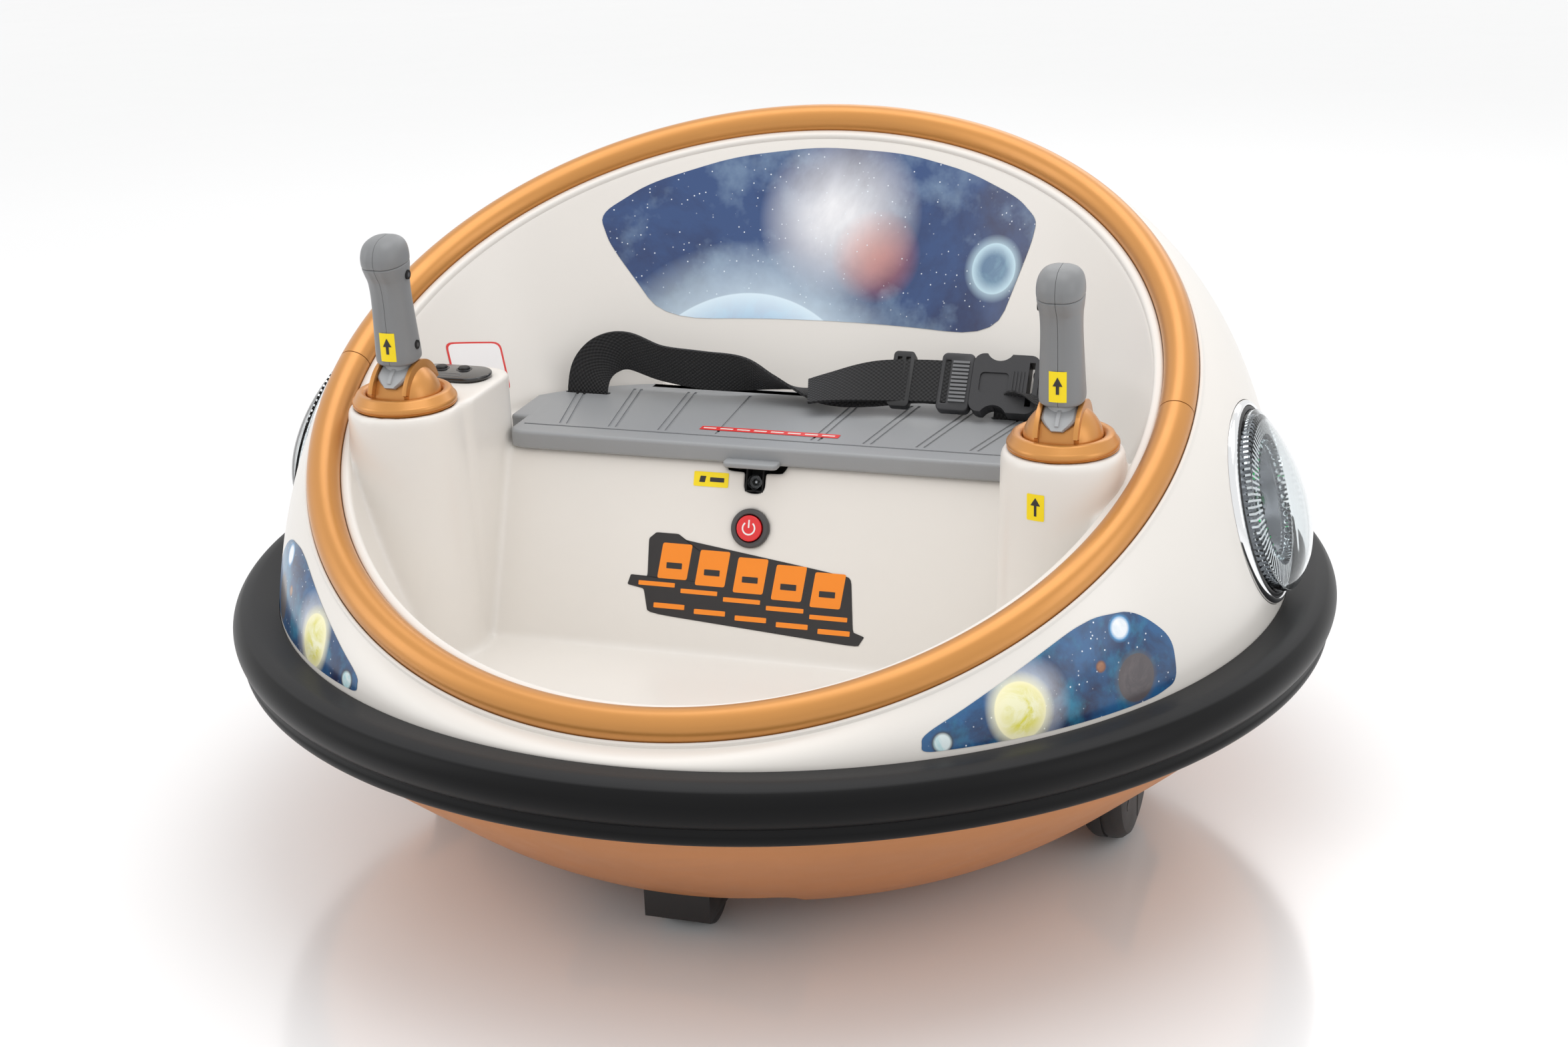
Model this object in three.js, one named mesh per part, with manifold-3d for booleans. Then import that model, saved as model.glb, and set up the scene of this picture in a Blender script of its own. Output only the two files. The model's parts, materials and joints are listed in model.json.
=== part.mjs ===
// Child's battery-powered ride-on bumper car: a round car with a tilted ring around the cabin,
// steered by two joysticks.  Millimetres, +Z up, origin on the floor at the centre of the bumper
// ring.  The rider faces -Y, so +X is the rider's left.  Angles around the car start at the front.
import * as THREE from 'three';
import { mergeVertices } from 'three/addons/utils/BufferGeometryUtils.js';
import Module from 'manifold-3d';

const wasm = await Module();
wasm.setup();

// ---------------------------------------------------------------- driving dimensions
const GAP = 0.3;                 // clearance between touching pieces
const WALL = 3;                  // wall of the moulded plastic pieces

const RING = { y: -68, z: 313.4, tilt: THREE.MathUtils.degToRad(27), radius: 281, tube: 11, wall: 2.6 };
const BUMPER = { inner: 344.4, shoulder: 362, topInner: 172, topOuter: 174.5, bottom: 137.1 };
const UPPER_LOBE = { r: 361.5, z: 160, radius: 14.6 };
const LOWER_LOBE = { r: 366.3, z: 142.3, radius: 5.2 };
const SKIRT = { radius: 344, top: 172, bottom: 150, bulge: 0.87, draw: 0.08, lip: 14 };
const TUB = { floor: 133, halfWidth: 200, halfLength: 150, y: -115, power: 3.4, rim: 264 };
const RISER = { top: 255, topY: -50, bottomY: -96 };
const BENCH = { halfX: 158, front: -40, rear: 62 };          // mouth of the battery bay
const PAN = { bottom: 26, flat: 222, rim: 149.7 };
const PEDESTAL = { x: 220.4, y: -115.8, top: 303.5, radius: 38, foot: 42, bore: 32 };
const PANEL = { x: -218, y: -52, length: 60, width: 32, thick: 3 };
const LID = { bottom: 255.3, top: 268, front: -55, halfX: 190, rear: 73, hingeY: 72, hingeZ: 261.6, pin: 2 };
const BELT = { width: 30, thick: 1.8 };
const BELT_SLOT = { x: 156, y: 40 };      // one each side of the seat lid
const DRIVE = { x: 239, y: -20, radius: 60, width: 30, axle: 5.6 };
const CASTER = { y: 196, trail: 12, wheel: 22, wheelWidth: 13, ceiling: 70 };
const LIGHT = { y: -4, z: 241, halfU: 66, halfV: 66, lean: THREE.MathUtils.degToRad(13) };
const STICK = { lean: THREE.MathUtils.degToRad(5), dome: 25, cheek: 26.5, band: 21.5, shoe: 22, pin: 2.4 };
const POWER = { height: 87, bezel: 13.3, button: 8.9 };

// ---------------------------------------------------------------- materials
const finish = (color, roughness, metalness = 0) =>
  new THREE.MeshStandardMaterial({ color, roughness, metalness });
const white = finish(0xf0ebe4, 0.35);
const bronze = finish(0xc98a3c, 0.35, 0.5);
const panBronze = finish(0xbe784b, 0.6);
const rubber = finish(0x242427, 0.5);
const grey = finish(0x9fa1a4, 0.45);
const gripGrey = finish(0x7d7e80, 0.5);
const black = finish(0x161618, 0.4);
const charcoal = finish(0x3b3c3f, 0.45);
const red = finish(0xe01e1e, 0.3);
const chrome = finish(0xd8dadd, 0.12, 1);
const clear = finish(0xdfe6ea, 0.05);
const steel = finish(0xb4b6b9, 0.3, 1);
const green = finish(0x1f6b3a, 0.5);

// ---------------------------------------------------------------- geometry helpers
const car = new THREE.Group();

/** Adds a named piece to a group. */
function piece(name, geometry, material, parent = car) {
  const mesh = new THREE.Mesh(geometry, material);
  mesh.name = name;
  parent.add(mesh);
  return mesh;
}

function group(x, y, z, parent = car) {
  const made = new THREE.Group();
  made.position.set(x, y, z);
  parent.add(made);
  return made;
}

/** Six times the volume enclosed by indexed triangles: negative when they face inwards. */
function enclosed(points, faces) {
  const [a, b, c] = [new THREE.Vector3(), new THREE.Vector3(), new THREE.Vector3()];
  let sum = 0;
  for (let i = 0; i < faces.length; i += 3) {
    a.fromArray(points[faces[i]]);
    b.fromArray(points[faces[i + 1]]);
    c.fromArray(points[faces[i + 2]]);
    sum += a.dot(b.cross(c));
  }
  return sum;
}

/** A geometry from points and triangles, turned the right way out. */
function closedMesh(points, faces) {
  if (enclosed(points, faces) < 0) {
    for (let i = 0; i < faces.length; i += 3) [faces[i], faces[i + 1]] = [faces[i + 1], faces[i]];
  }
  const made = new THREE.BufferGeometry();
  made.setAttribute('position', new THREE.Float32BufferAttribute(points.flat(), 3));
  made.setIndex(faces);
  return made;
}

/**
 * A closed body through equal-length point loops.  With `around` the last loop joins the first;
 * otherwise both ends are closed by a fan about their middle.
 */
function loft(loops, around = false) {
  const count = loops[0].length;
  const points = loops.flat();
  const faces = [];
  const spans = around ? loops.length : loops.length - 1;
  for (let i = 0; i < spans; i++) {
    const here = i * count;
    const next = ((i + 1) % loops.length) * count;
    for (let j = 0; j < count; j++) {
      const k = (j + 1) % count;
      faces.push(here + j, here + k, next + k, here + j, next + k, next + j);
    }
  }
  if (!around) {
    for (const [start, order] of [[0, 1], [(loops.length - 1) * count, -1]]) {
      const middle = [0, 1, 2].map((axis) => {
        let sum = 0;
        for (let j = 0; j < count; j++) sum += points[start + j][axis];
        return sum / count;
      });
      const centre = points.push(middle) - 1;
      for (let j = 0; j < count; j++) {
        const k = (j + 1) % count;
        if (order > 0) faces.push(centre, start + k, start + j);
        else faces.push(centre, start + j, start + k);
      }
    }
  }
  return closedMesh(points, faces);
}

/** Turns a closed geometry into a solid for joining and cutting. */
function solid(geometry) {
  const bare = geometry.clone();
  bare.deleteAttribute('normal');
  bare.deleteAttribute('uv');
  const merged = mergeVertices(bare, 1e-4);
  return new wasm.Manifold(new wasm.Mesh({
    numProp: 3,
    vertProperties: new Float32Array(merged.attributes.position.array),
    triVerts: new Uint32Array(merged.index.array),
  }));
}

function geometryOf(made) {
  const mesh = made.getMesh();
  const out = new THREE.BufferGeometry();
  out.setAttribute('position', new THREE.BufferAttribute(new Float32Array(mesh.vertProperties), 3));
  out.setIndex(Array.from(mesh.triVerts));
  return out;
}

/** A box between two corners. */
function box([x0, y0, z0], [x1, y1, z1]) {
  return new THREE.BoxGeometry(x1 - x0, y1 - y0, z1 - z0)
    .translate((x0 + x1) / 2, (y0 + y1) / 2, (z0 + z1) / 2);
}

/** A cylinder along `axis` from `from` to `to`, centred on the other two coordinates. */
function rod(axis, radius, from, to, [a, b], sides = 16) {
  const made = new THREE.CylinderGeometry(radius, radius, to - from, sides);
  if (axis === 'x') return made.rotateZ(Math.PI / 2).translate((from + to) / 2, a, b);
  if (axis === 'y') return made.translate(a, (from + to) / 2, b);
  return made.rotateX(Math.PI / 2).translate(a, b, (from + to) / 2);
}

/** A body of revolution about Z from [radius, height] points; it closes on itself off the axis. */
function turned(profile, sides) {
  const points = profile.map(([r, h]) => new THREE.Vector2(r, h));
  if (profile[0][0] > 0) points.push(points[0].clone());
  const lathe = new THREE.LatheGeometry(points, sides);
  lathe.deleteAttribute('normal');
  lathe.deleteAttribute('uv');
  const merged = mergeVertices(lathe, 1e-4).rotateX(Math.PI / 2);
  const index = [];
  for (let i = 0; i < merged.index.count; i += 3) {
    const [a, b, c] = [0, 1, 2].map((k) => merged.index.getX(i + k));
    if (a !== b && b !== c && a !== c) index.push(a, b, c);
  }
  const at = merged.attributes.position;
  const corners = Array.from({ length: at.count }, (_, i) => [at.getX(i), at.getY(i), at.getZ(i)]);
  return closedMesh(corners, index);
}

/** [radius, height] points along an arc, from one angle to another in degrees. */
function arc({ r, z, radius }, from, to, steps) {
  return Array.from({ length: steps + 1 }, (_, i) => {
    const at = THREE.MathUtils.degToRad(from + ((to - from) * i) / steps);
    return [r + radius * Math.cos(at), z + radius * Math.sin(at)];
  });
}

/** A rounded rectangle outline about the origin. */
function roundedRect(width, length, radius) {
  const [w, l] = [width / 2, length / 2];
  const shape = new THREE.Shape();
  shape.absarc(w - radius, l - radius, radius, 0, Math.PI / 2);
  shape.absarc(radius - w, l - radius, radius, Math.PI / 2, Math.PI);
  shape.absarc(radius - w, radius - l, radius, Math.PI, Math.PI * 1.5);
  shape.absarc(w - radius, radius - l, radius, Math.PI * 1.5, Math.PI * 2);
  shape.closePath();
  return shape;
}

/** A plate of the outline, its underside at the given height. */
function plate(shape, thick, height = 0, curveSegments = 5) {
  return new THREE.ExtrudeGeometry(shape, { depth: thick, bevelEnabled: false, curveSegments })
    .translate(0, 0, height);
}

const AROUND = 36;                        // steps around the large bodywork pieces
const angles = (count) => Array.from({ length: count }, (_, i) => (i / count) * Math.PI * 2);

// ---------------------------------------------------------------- the car's main curves
/** A point near the ring: `angle` around it, `radius` in its plane, `lift` above its plane. */
function ringPoint(angle, radius, lift = 0) {
  const [s, c] = [Math.sin(RING.tilt), Math.cos(RING.tilt)];
  const along = -radius * Math.cos(angle);
  return [radius * Math.sin(angle), RING.y + along * c - lift * s, RING.z + along * s + lift * c];
}

/** A point on a circle around the car's upright axis. */
function basePoint(angle, radius, height) {
  return [radius * Math.sin(angle), -radius * Math.cos(angle), height];
}

/** The bulging skirt between the base circle (t = 0) and the lip beside the ring (t = 1). */
function skirtPoint(angle, t, inset = 0) {
  const foot = basePoint(angle, SKIRT.radius - inset, SKIRT.top);
  const lip = ringPoint(angle, RING.radius + SKIRT.lip - inset, inset > 0 ? -12 : -3);
  const rise = lip[2] - SKIRT.top;
  const draw = 1 - (SKIRT.draw * rise) / 270;
  const knee = [foot[0] * draw, foot[1] * draw, SKIRT.top + SKIRT.bulge * rise];
  return foot.map((v, k) => (1 - t) ** 2 * v + 2 * t * (1 - t) * knee[k] + t * t * lip[k]);
}

/** The rounded-square outline at the foot of the tub wall. */
function tubFoot(angle, grow, height) {
  const round = (v) => Math.sign(v) * Math.abs(v) ** (2 / TUB.power);
  return [
    (TUB.halfWidth + grow) * round(Math.sin(angle)),
    TUB.y - (TUB.halfLength + grow) * round(Math.cos(angle)),
    height,
  ];
}

/** A point of the tub wall at a given height, on the cabin side. */
function tubWallAt(angle, height) {
  const foot = tubFoot(angle, 0, TUB.floor);
  const rim = ringPoint(angle, TUB.rim, -3);
  const t = (height - foot[2]) / (rim[2] - foot[2]);
  return foot.map((v, k) => v + t * (rim[k] - v));
}

// ---------------------------------------------------------------- bodywork
const flangeTop = -9;
const flangeUnder = -12;
const seam = RING.radius - 0.15;         // the tub and skirt flanges meet under the ring

function makeOuterShell() {
  const around = angles(AROUND);
  const outerSteps = [0, 0.35, 0.7, 1];
  const loops = [
    around.map((a) => basePoint(a, SKIRT.radius, SKIRT.bottom)),
    ...outerSteps.map((t) => around.map((a) => skirtPoint(a, t))),
    around.map((a) => ringPoint(a, RING.radius + 13, -0.6)),
    around.map((a) => ringPoint(a, RING.radius + RING.tube + GAP, -0.6)),
    around.map((a) => ringPoint(a, RING.radius + RING.tube + GAP, flangeTop)),
    around.map((a) => ringPoint(a, RING.radius + 0.4, flangeTop)),
    around.map((a) => ringPoint(a, RING.radius + 0.4, flangeUnder)),
    ...[1, 0.5, 0].map((t) => around.map((a) => skirtPoint(a, t, WALL))),
    around.map((a) => basePoint(a, SKIRT.radius - WALL, SKIRT.bottom)),
  ];
  let shell = solid(loft(loops, true));
  for (const side of [1, -1]) shell = shell.subtract(lightHole(side));
  return geometryOf(shell);
}

function makeTubWall() {
  const around = angles(AROUND);
  return solid(loft([
    around.map((a) => tubFoot(a, -9, TUB.floor)),
    around.map((a) => tubFoot(a, -1, TUB.floor + 6)),
    around.map((a) => ringPoint(a, TUB.rim, -3)),
    around.map((a) => ringPoint(a, TUB.rim + 1.6, -0.8)),
    around.map((a) => ringPoint(a, RING.radius - RING.tube - GAP, -0.8)),
    around.map((a) => ringPoint(a, RING.radius - RING.tube - GAP, flangeTop)),
    around.map((a) => ringPoint(a, seam - 0.1, flangeTop)),
    around.map((a) => ringPoint(a, seam - 0.1, flangeUnder)),
    around.map((a) => ringPoint(a, TUB.rim + WALL, flangeUnder)),
    around.map((a) => tubFoot(a, WALL - 1, TUB.floor + 5)),
    around.map((a) => tubFoot(a, -9, TUB.floor - WALL)),
  ]));
}

/** The space inside the middle of the tub wall, which trims whatever is moulded onto it. */
function tubSpace() {
  const around = angles(AROUND);
  return solid(loft([
    around.map((a) => tubFoot(a, -9, TUB.floor - 1.5)),
    around.map((a) => tubFoot(a, 0.5, TUB.floor + 5)),
    around.map((a) => ringPoint(a, TUB.rim + 1.5, -8)),
  ]));
}

const riserLean = Math.atan2(RISER.topY - RISER.bottomY, RISER.top - TUB.floor);

/** The riser's frame: its face is the plane y = 0 looking along -Y, and z runs up the face. */
const riserFrame = new THREE.Matrix4().makeRotationX(-riserLean)
  .setPosition(0, RISER.bottomY, TUB.floor);

function makeBench() {
  const profile = new THREE.Shape([
    new THREE.Vector2(RISER.bottomY, TUB.floor - 1.5),
    new THREE.Vector2(RISER.topY, RISER.top),
    new THREE.Vector2(120, RISER.top),
    new THREE.Vector2(120, RISER.top - WALL),
    new THREE.Vector2(RISER.topY + 2.4, RISER.top - WALL),
    new THREE.Vector2(RISER.bottomY + 3.2, TUB.floor - 1.5),
  ]);
  // extruded along X: the outline's own axes are Y and Z
  const slab = new THREE.ExtrudeGeometry(profile, { depth: 520, bevelEnabled: false })
    .translate(0, 0, -260).rotateX(Math.PI / 2).rotateZ(Math.PI / 2);
  const mouth = solid(box([-BENCH.halfX, BENCH.front, 200], [BENCH.halfX, BENCH.rear, 300]));
  let bench = solid(slab).subtract(mouth);
  for (const x of [-106, 106]) {
    bench = bench.add(solid(box([x - 6, LID.hingeY - 4.5, RISER.top - WALL], [x + 6, 100, 266])));
  }
  return bench.intersect(tubSpace());
}

function pedestalOuter(x) {
  return solid(turned([
    [0, TUB.floor - 1.5], [PEDESTAL.foot, TUB.floor - 1.5], [PEDESTAL.radius, PEDESTAL.top - 5],
    [PEDESTAL.radius - 1.2, PEDESTAL.top - 1.2], [PEDESTAL.radius - 4, PEDESTAL.top], [0, PEDESTAL.top],
  ], 24).translate(x, PEDESTAL.y, 0));
}

function pedestalHollow(x) {
  return solid(turned([
    [0, TUB.floor - 10], [PEDESTAL.foot - WALL, TUB.floor - 10],
    [PEDESTAL.radius - WALL, PEDESTAL.top - 4], [PEDESTAL.bore, PEDESTAL.top - 3.5],
    [PEDESTAL.bore, PEDESTAL.top + 5], [0, PEDESTAL.top + 5],
  ], 24).translate(x, PEDESTAL.y, 0));
}

const consoleX = [-240, -180];           // the box behind the rider's right pedestal
const consoleY = [-118, -24];

function makeInnerTub() {
  const [midX, midY] = [(consoleX[0] + consoleX[1]) / 2, (consoleY[0] + consoleY[1]) / 2];
  const [wide, long] = [consoleX[1] - consoleX[0], consoleY[1] - consoleY[0]];
  const consoleBox = (inset, radius, from, to) => solid(
    plate(roundedRect(wide - inset, long - inset, radius), to - from, from, 4).translate(midX, midY, 0));
  let tub = makeTubWall().add(makeBench());
  tub = tub.add(consoleBox(0, 20, TUB.floor - 1.5, PEDESTAL.top));
  for (const x of [-PEDESTAL.x, PEDESTAL.x]) tub = tub.add(pedestalOuter(x));
  tub = tub.subtract(consoleBox(2 * WALL, 17, TUB.floor + 2, PEDESTAL.top - WALL));
  for (const x of [-PEDESTAL.x, PEDESTAL.x]) tub = tub.subtract(pedestalHollow(x));
  tub = tub.subtract(solid(plate(roundedRect(PANEL.length - 10, PANEL.width - 10, 10), 20, 290)
    .translate(PANEL.x, PANEL.y, 0)));
  // holes in the riser: power button, charge socket slot and the notch for the lid's pull tab
  const holes = [
    rod('y', POWER.bezel - 1.9, -10, 12, [0, POWER.height], 24),
    box([-6.4, -10, 111], [6.4, 12, 126]),
    box([-20, -10, 124], [20, 9, 140]),
  ];
  for (const hole of holes) tub = tub.subtract(solid(hole.applyMatrix4(riserFrame)));
  for (const x of [-106, 106]) {
    tub = tub.subtract(solid(rod('x', LID.pin + GAP, x - 14, x + 14, [LID.hingeY, LID.hingeZ], 10)));
  }
  return geometryOf(tub);
}

/** Half of the ring: a tube open along its underside, clipped over the two flanges. */
function makeRingHalf(middle) {
  const section = [
    ...arc({ r: 0, z: 0, radius: RING.tube }, -48, 228, 7),
    ...arc({ r: 0, z: 0, radius: RING.tube - RING.wall }, 222, -42, 4),
  ];
  const half = Math.PI / 2 - GAP / 2 / RING.radius;
  const steps = AROUND / 2;
  const loops = Array.from({ length: steps + 1 }, (_, i) => {
    const a = middle - half + (2 * half * i) / steps;
    return section.map(([u, w]) => ringPoint(a, RING.radius + u, w));
  });
  return sweep(loops, section);
}

/** A swept body whose end faces follow a concave section. */
function sweep(loops, section) {
  const count = section.length;
  const cap = THREE.ShapeUtils.triangulateShape(section.map(([u, w]) => new THREE.Vector2(u, w)), []);
  const points = loops.flat();
  const faces = [];
  for (let i = 0; i + 1 < loops.length; i++) {
    for (let j = 0; j < count; j++) {
      const k = (j + 1) % count;
      const [a, b, c, d] = [i * count + j, i * count + k, (i + 1) * count + k, (i + 1) * count + j];
      faces.push(a, b, c, a, c, d);
    }
  }
  const last = (loops.length - 1) * count;
  const turn = THREE.ShapeUtils.isClockWise(section.map(([u, w]) => new THREE.Vector2(u, w)));
  for (const [a, b, c] of cap) {
    if (turn) faces.push(a, b, c, last + a, last + c, last + b);
    else faces.push(a, c, b, last + a, last + b, last + c);
  }
  return closedMesh(points, faces);
}

const makeBumper = () => turned([
  [BUMPER.inner, BUMPER.bottom],
  [BUMPER.inner, BUMPER.topInner],
  [BUMPER.shoulder, BUMPER.topOuter],
  ...arc(UPPER_LOBE, 66, -52, 4),
  ...arc(LOWER_LOBE, 30, -90, 2),
].reverse(), AROUND);

function panOutline(inset) {
  const outer = [
    [0, PAN.bottom], [PAN.flat + 4, PAN.bottom], [262, 50], [300, 82], [330, 108],
    [343.9, 124], [343.9, PAN.rim],
  ];
  return outer.map(([r, z]) => [
    Math.max(0, r - (z > PAN.bottom ? inset * 0.65 : 0)) - (z > 123 ? inset * 0.35 : 0),
    z === PAN.rim ? z : z + (z > 123 ? inset * 0.2 : inset),
  ]);
}

/** The bottom pan, with a pocket for each caster and an opening for each drive wheel. */
function makeBottomPan() {
  const filled = solid(turned([...panOutline(0), [0, PAN.rim]], AROUND));
  const section = [...panOutline(0), ...panOutline(WALL).reverse()];
  let pan = solid(turned(section, AROUND));
  for (const side of [-1, 1]) {
    const y = side * CASTER.y;
    const block = (grow, from, to) => solid(
      plate(roundedRect(160 + grow, 94 + grow, 14 + grow / 2), to - from, from, 3).translate(0, y, 0));
    pan = pan.add(block(2 * WALL, PAN.bottom, CASTER.ceiling + WALL).intersect(filled));
    pan = pan.subtract(block(0, 0, CASTER.ceiling));
    pan = pan.subtract(solid(
      plate(roundedRect(44, 2 * DRIVE.radius + 14, 8), 126, 0, 2).translate(side * DRIVE.x, DRIVE.y, 0)));
  }
  return geometryOf(pan);
}

// ---------------------------------------------------------------- seat
function makeSeatLid() {
  // the rear edge follows the tub wall, and the left end of the front clears the console box
  const rear = [];
  for (let degrees = 110; degrees <= 250; degrees += 10) {
    const [x, y] = tubWallAt(THREE.MathUtils.degToRad(degrees), LID.bottom);
    const shrunk = Math.sign(x) * Math.min(Math.abs(x) - 5, LID.halfX);
    if (y > 0) rear.push([shrunk, Math.min(y - 5, LID.rear)]);
  }
  const consoleSide = consoleX[1] + 2;
  const shape = new THREE.Shape([
    [consoleSide, consoleY[1] + 4], [consoleSide, LID.front + 6], [consoleSide + 6, LID.front],
    [LID.halfX - 12, LID.front], [LID.halfX, LID.front + 12],
    ...rear,
    [-LID.halfX, consoleY[1] + 4],
  ].map(([x, y]) => new THREE.Vector2(x, y)));
  const bevel = 2.5;
  const slab = new THREE.ExtrudeGeometry(shape, {
    depth: LID.top - LID.bottom - bevel, bevelThickness: bevel, bevelSize: bevel, bevelOffset: -bevel,
    bevelSegments: 2, curveSegments: 4,
  }).translate(0, 0, LID.bottom);
  let lid = solid(slab);
  // keep only the rounded upper edge: the underside is flat
  lid = lid.intersect(solid(box([-250, -100, LID.bottom], [250, 120, LID.top + 5])));
  lid = lid.add(solid(plate(roundedRect(38, 16, 4), 3.2, LID.bottom).translate(0, LID.front, 0)));
  for (const x of [-106, 106]) {
    lid = lid.subtract(solid(box([x - 6.4, LID.hingeY - 6.6, 240], [x + 6.4, 120, 290])));
    lid = lid.subtract(solid(rod('x', LID.pin + GAP, x - 14, x + 14, [LID.hingeY, LID.hingeZ], 10)));
    const slot = Math.sign(x) * BELT_SLOT.x;
    lid = lid.subtract(solid(box(
      [slot - 17, BELT_SLOT.y - 2.6, 240], [slot + 17, BELT_SLOT.y + 2.6, 290])));
  }
  return geometryOf(lid);
}

/** A flat strap through stations [centre, direction of its width]. */
function strap(stations, samples) {
  const centres = new THREE.CatmullRomCurve3(stations.map(([p]) => new THREE.Vector3(...p)));
  const widths = new THREE.CatmullRomCurve3(stations.map(([, w]) => new THREE.Vector3(...w)));
  const loops = [];
  for (let i = 0; i <= samples; i++) {
    const t = i / samples;
    const tangent = centres.getTangent(t);
    const across = widths.getPoint(t);
    across.addScaledVector(tangent, -across.dot(tangent)).normalize();
    const face = new THREE.Vector3().crossVectors(tangent, across);
    const corner = (u, v) => centres.getPoint(t)
      .addScaledVector(across, (u * BELT.width) / 2).addScaledVector(face, (v * BELT.thick) / 2).toArray();
    loops.push([corner(-1, -1), corner(1, -1), corner(1, 1), corner(-1, 1)]);
  }
  return loft(loops);
}

/** The buckle lies to the rider's left, tipped up on its lower edge. */
const BUCKLE = { x: 128, y: 44, z: 289.2, tip: THREE.MathUtils.degToRad(52) };

function makeBelt() {
  const lie = [0, Math.cos(BUCKLE.tip), Math.sin(BUCKLE.tip)];
  piece('belt_webbing_long', strap([
    [[-156, 40, 261], [1, 0, 0]],
    [[-156, 40, 271], [1, 0, 0]],
    [[-152.4, 42, 285], [0.87, 0.05, -0.5]],
    [[-142.5, 45, 295], [0.5, 0.15, -0.87]],
    [[-127, 48, 298], [0.05, 0.25, -1]],
    [[-102, 49, 290], [0, 0.3, -0.95]],
    [[-72, 48, 287], [0, 0.22, -1]],
    [[-42, 49, 286], [0, 0.35, -0.95]],
    [[-18, 50, 281], [0, 0.8, -0.65]],
    [[8, 50, 275], [0, 1, -0.15]],
    [[32, 47, 279], [0, 0.85, 0.5]],
    [[58, 44, 284], [0, 0.6, 0.8]],
    [[82, 43, 288.5], lie],
    [[100, 44, 289.2], lie],
  ], 44), black);
  piece('belt_webbing_short', strap([
    [[156, 40, 261], [1, 0, 0]],
    [[157, 40, 273], [1, 0, 0]],
    [[168, 38, 287], [0.8, 0.3, 0.5]],
    [[180, 40, 292], [0.3, 0.6, 0.75]],
    [[186, 43.5, 290], lie],
  ], 10), black);
  const frame = group(BUCKLE.x, BUCKLE.y, BUCKLE.z);
  frame.rotation.x = BUCKLE.tip;
  piece('buckle_male', makeBuckleMale(), charcoal, frame);
  piece('buckle_female', makeBuckleFemale(), charcoal, frame);
}

// the buckle in its own frame: its length along X, its width along Y, its thickness along Z
function makeBuckleMale() {
  const body = solid(plate(roundedRect(22, 42, 3), 7, -3.5, 2).translate(-14, 0, 0));
  const window1 = solid(box([-23, -15.6, -6], [-18.6, 15.6, 6]));
  const window2 = solid(box([-15.4, -15.6, -6], [-7, 15.6, 6]));
  return geometryOf(body.subtract(window1).subtract(window2));
}

function makeBuckleFemale() {
  const body = solid(plate(roundedRect(46, 42, 5), 12, -6, 2).translate(20.5, 0, 0));
  const waist = [1, -1].map((side) => solid(rod('z', 9, -10, 10, [17, side * 24], 16)));
  const rear = solid(box([37, -15.6, -8], [41, 15.6, 8]));
  return geometryOf(body.subtract(waist[0]).subtract(waist[1]).subtract(rear));
}

// ---------------------------------------------------------------- joysticks
function makeDome() {
  const half = STICK.dome;
  const ball = solid(new THREE.SphereGeometry(half, 14, 8));
  const outside = (side) => solid(box([side * 25 - 14.5, -40, -40], [side * 25 + 14.5, 40, 40]));
  const cheek = (side) => solid(rod('x', STICK.cheek, side * 12.4 - 1.5, side * 12.4 + 1.5, [0, 0], 16));
  let dome = ball.intersect(outside(1)).add(ball.intersect(outside(-1)));
  dome = dome.add(cheek(1)).add(cheek(-1)).add(solid(rod('x', STICK.band, -13, 13, [0, 0], 16)));
  dome = dome.intersect(solid(box([-40, -40, -5], [40, 40, 40])));
  dome = dome.intersect(solid(turned([[0, -5], [24.3, -5], [24.3, 8], [40, 12], [40, 40], [0, 40]], 16)));
  dome = dome.subtract(solid(rod('z', 17, -10, 13, [0, 0], 12)));
  dome = dome.subtract(solid(box([-5, -13, 0], [5, 13, 40])));
  return geometryOf(dome.subtract(solid(rod('x', STICK.pin + GAP, -40, 40, [0, 0], 10))));
}

/** The stem: a shoe that covers the dome's band, a post up into the grip and a foot on the pin. */
function makeStem() {
  const outline = new THREE.Shape();
  const [from, to] = [THREE.MathUtils.degToRad(54), THREE.MathUtils.degToRad(142)];
  outline.absarc(0, 0, STICK.shoe + 2.6, from, to, false);
  outline.absarc(0, 0, STICK.shoe, to, from, true);
  outline.closePath();
  // the outline's own axes become -Y and Z
  const shoe = solid(new THREE.ExtrudeGeometry(outline, { depth: 21, bevelEnabled: false, curveSegments: 9 })
    .translate(0, 0, -10.5).rotateX(Math.PI / 2).rotateZ(Math.PI / 2));
  const post = solid(box([-4, -4.5, 0], [4, 4.5, 78]));
  const foot = solid(rod('x', 6, -4, 4, [0, 0], 14));
  return geometryOf(shoe.add(post).add(foot)
    .subtract(solid(rod('x', STICK.pin + GAP, -9, 9, [0, 0], 10))));
}

// height up the grip, half width, reach to the front, reach to the back
const gripSections = [
  [28, 11.5, 12, 12], [30.5, 13.6, 14.6, 14.2], [42, 13.4, 14, 13.6], [62, 12.8, 12.6, 12.6],
  [82, 12.8, 13.4, 12.8], [90, 13.8, 17, 14], [100, 13.8, 17.6, 14.4], [107, 12, 15, 13],
  [111, 7.5, 8.5, 8.5],
];

/** One half of the grip shell, hollow for the post; side is +1 or -1 along X. */
function makeGripHalf(side) {
  const loops = gripSections.map(([height, half, front, back]) => {
    const outer = Array.from({ length: 9 }, (_, i) => {
      const a = (i / 8) * Math.PI;
      const depth = Math.cos(a) > 0 ? front : back;
      const square = (v) => Math.sign(v) * Math.abs(v) ** 0.8;
      return [side * (0.15 + half * square(Math.sin(a))), -depth * square(Math.cos(a)), height];
    });
    return outer;
  });
  const shell = solid(loft(loops));
  return geometryOf(shell.subtract(solid(box([-4.6, -5.1, 20], [4.6, 5.1, 79]))));
}

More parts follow.
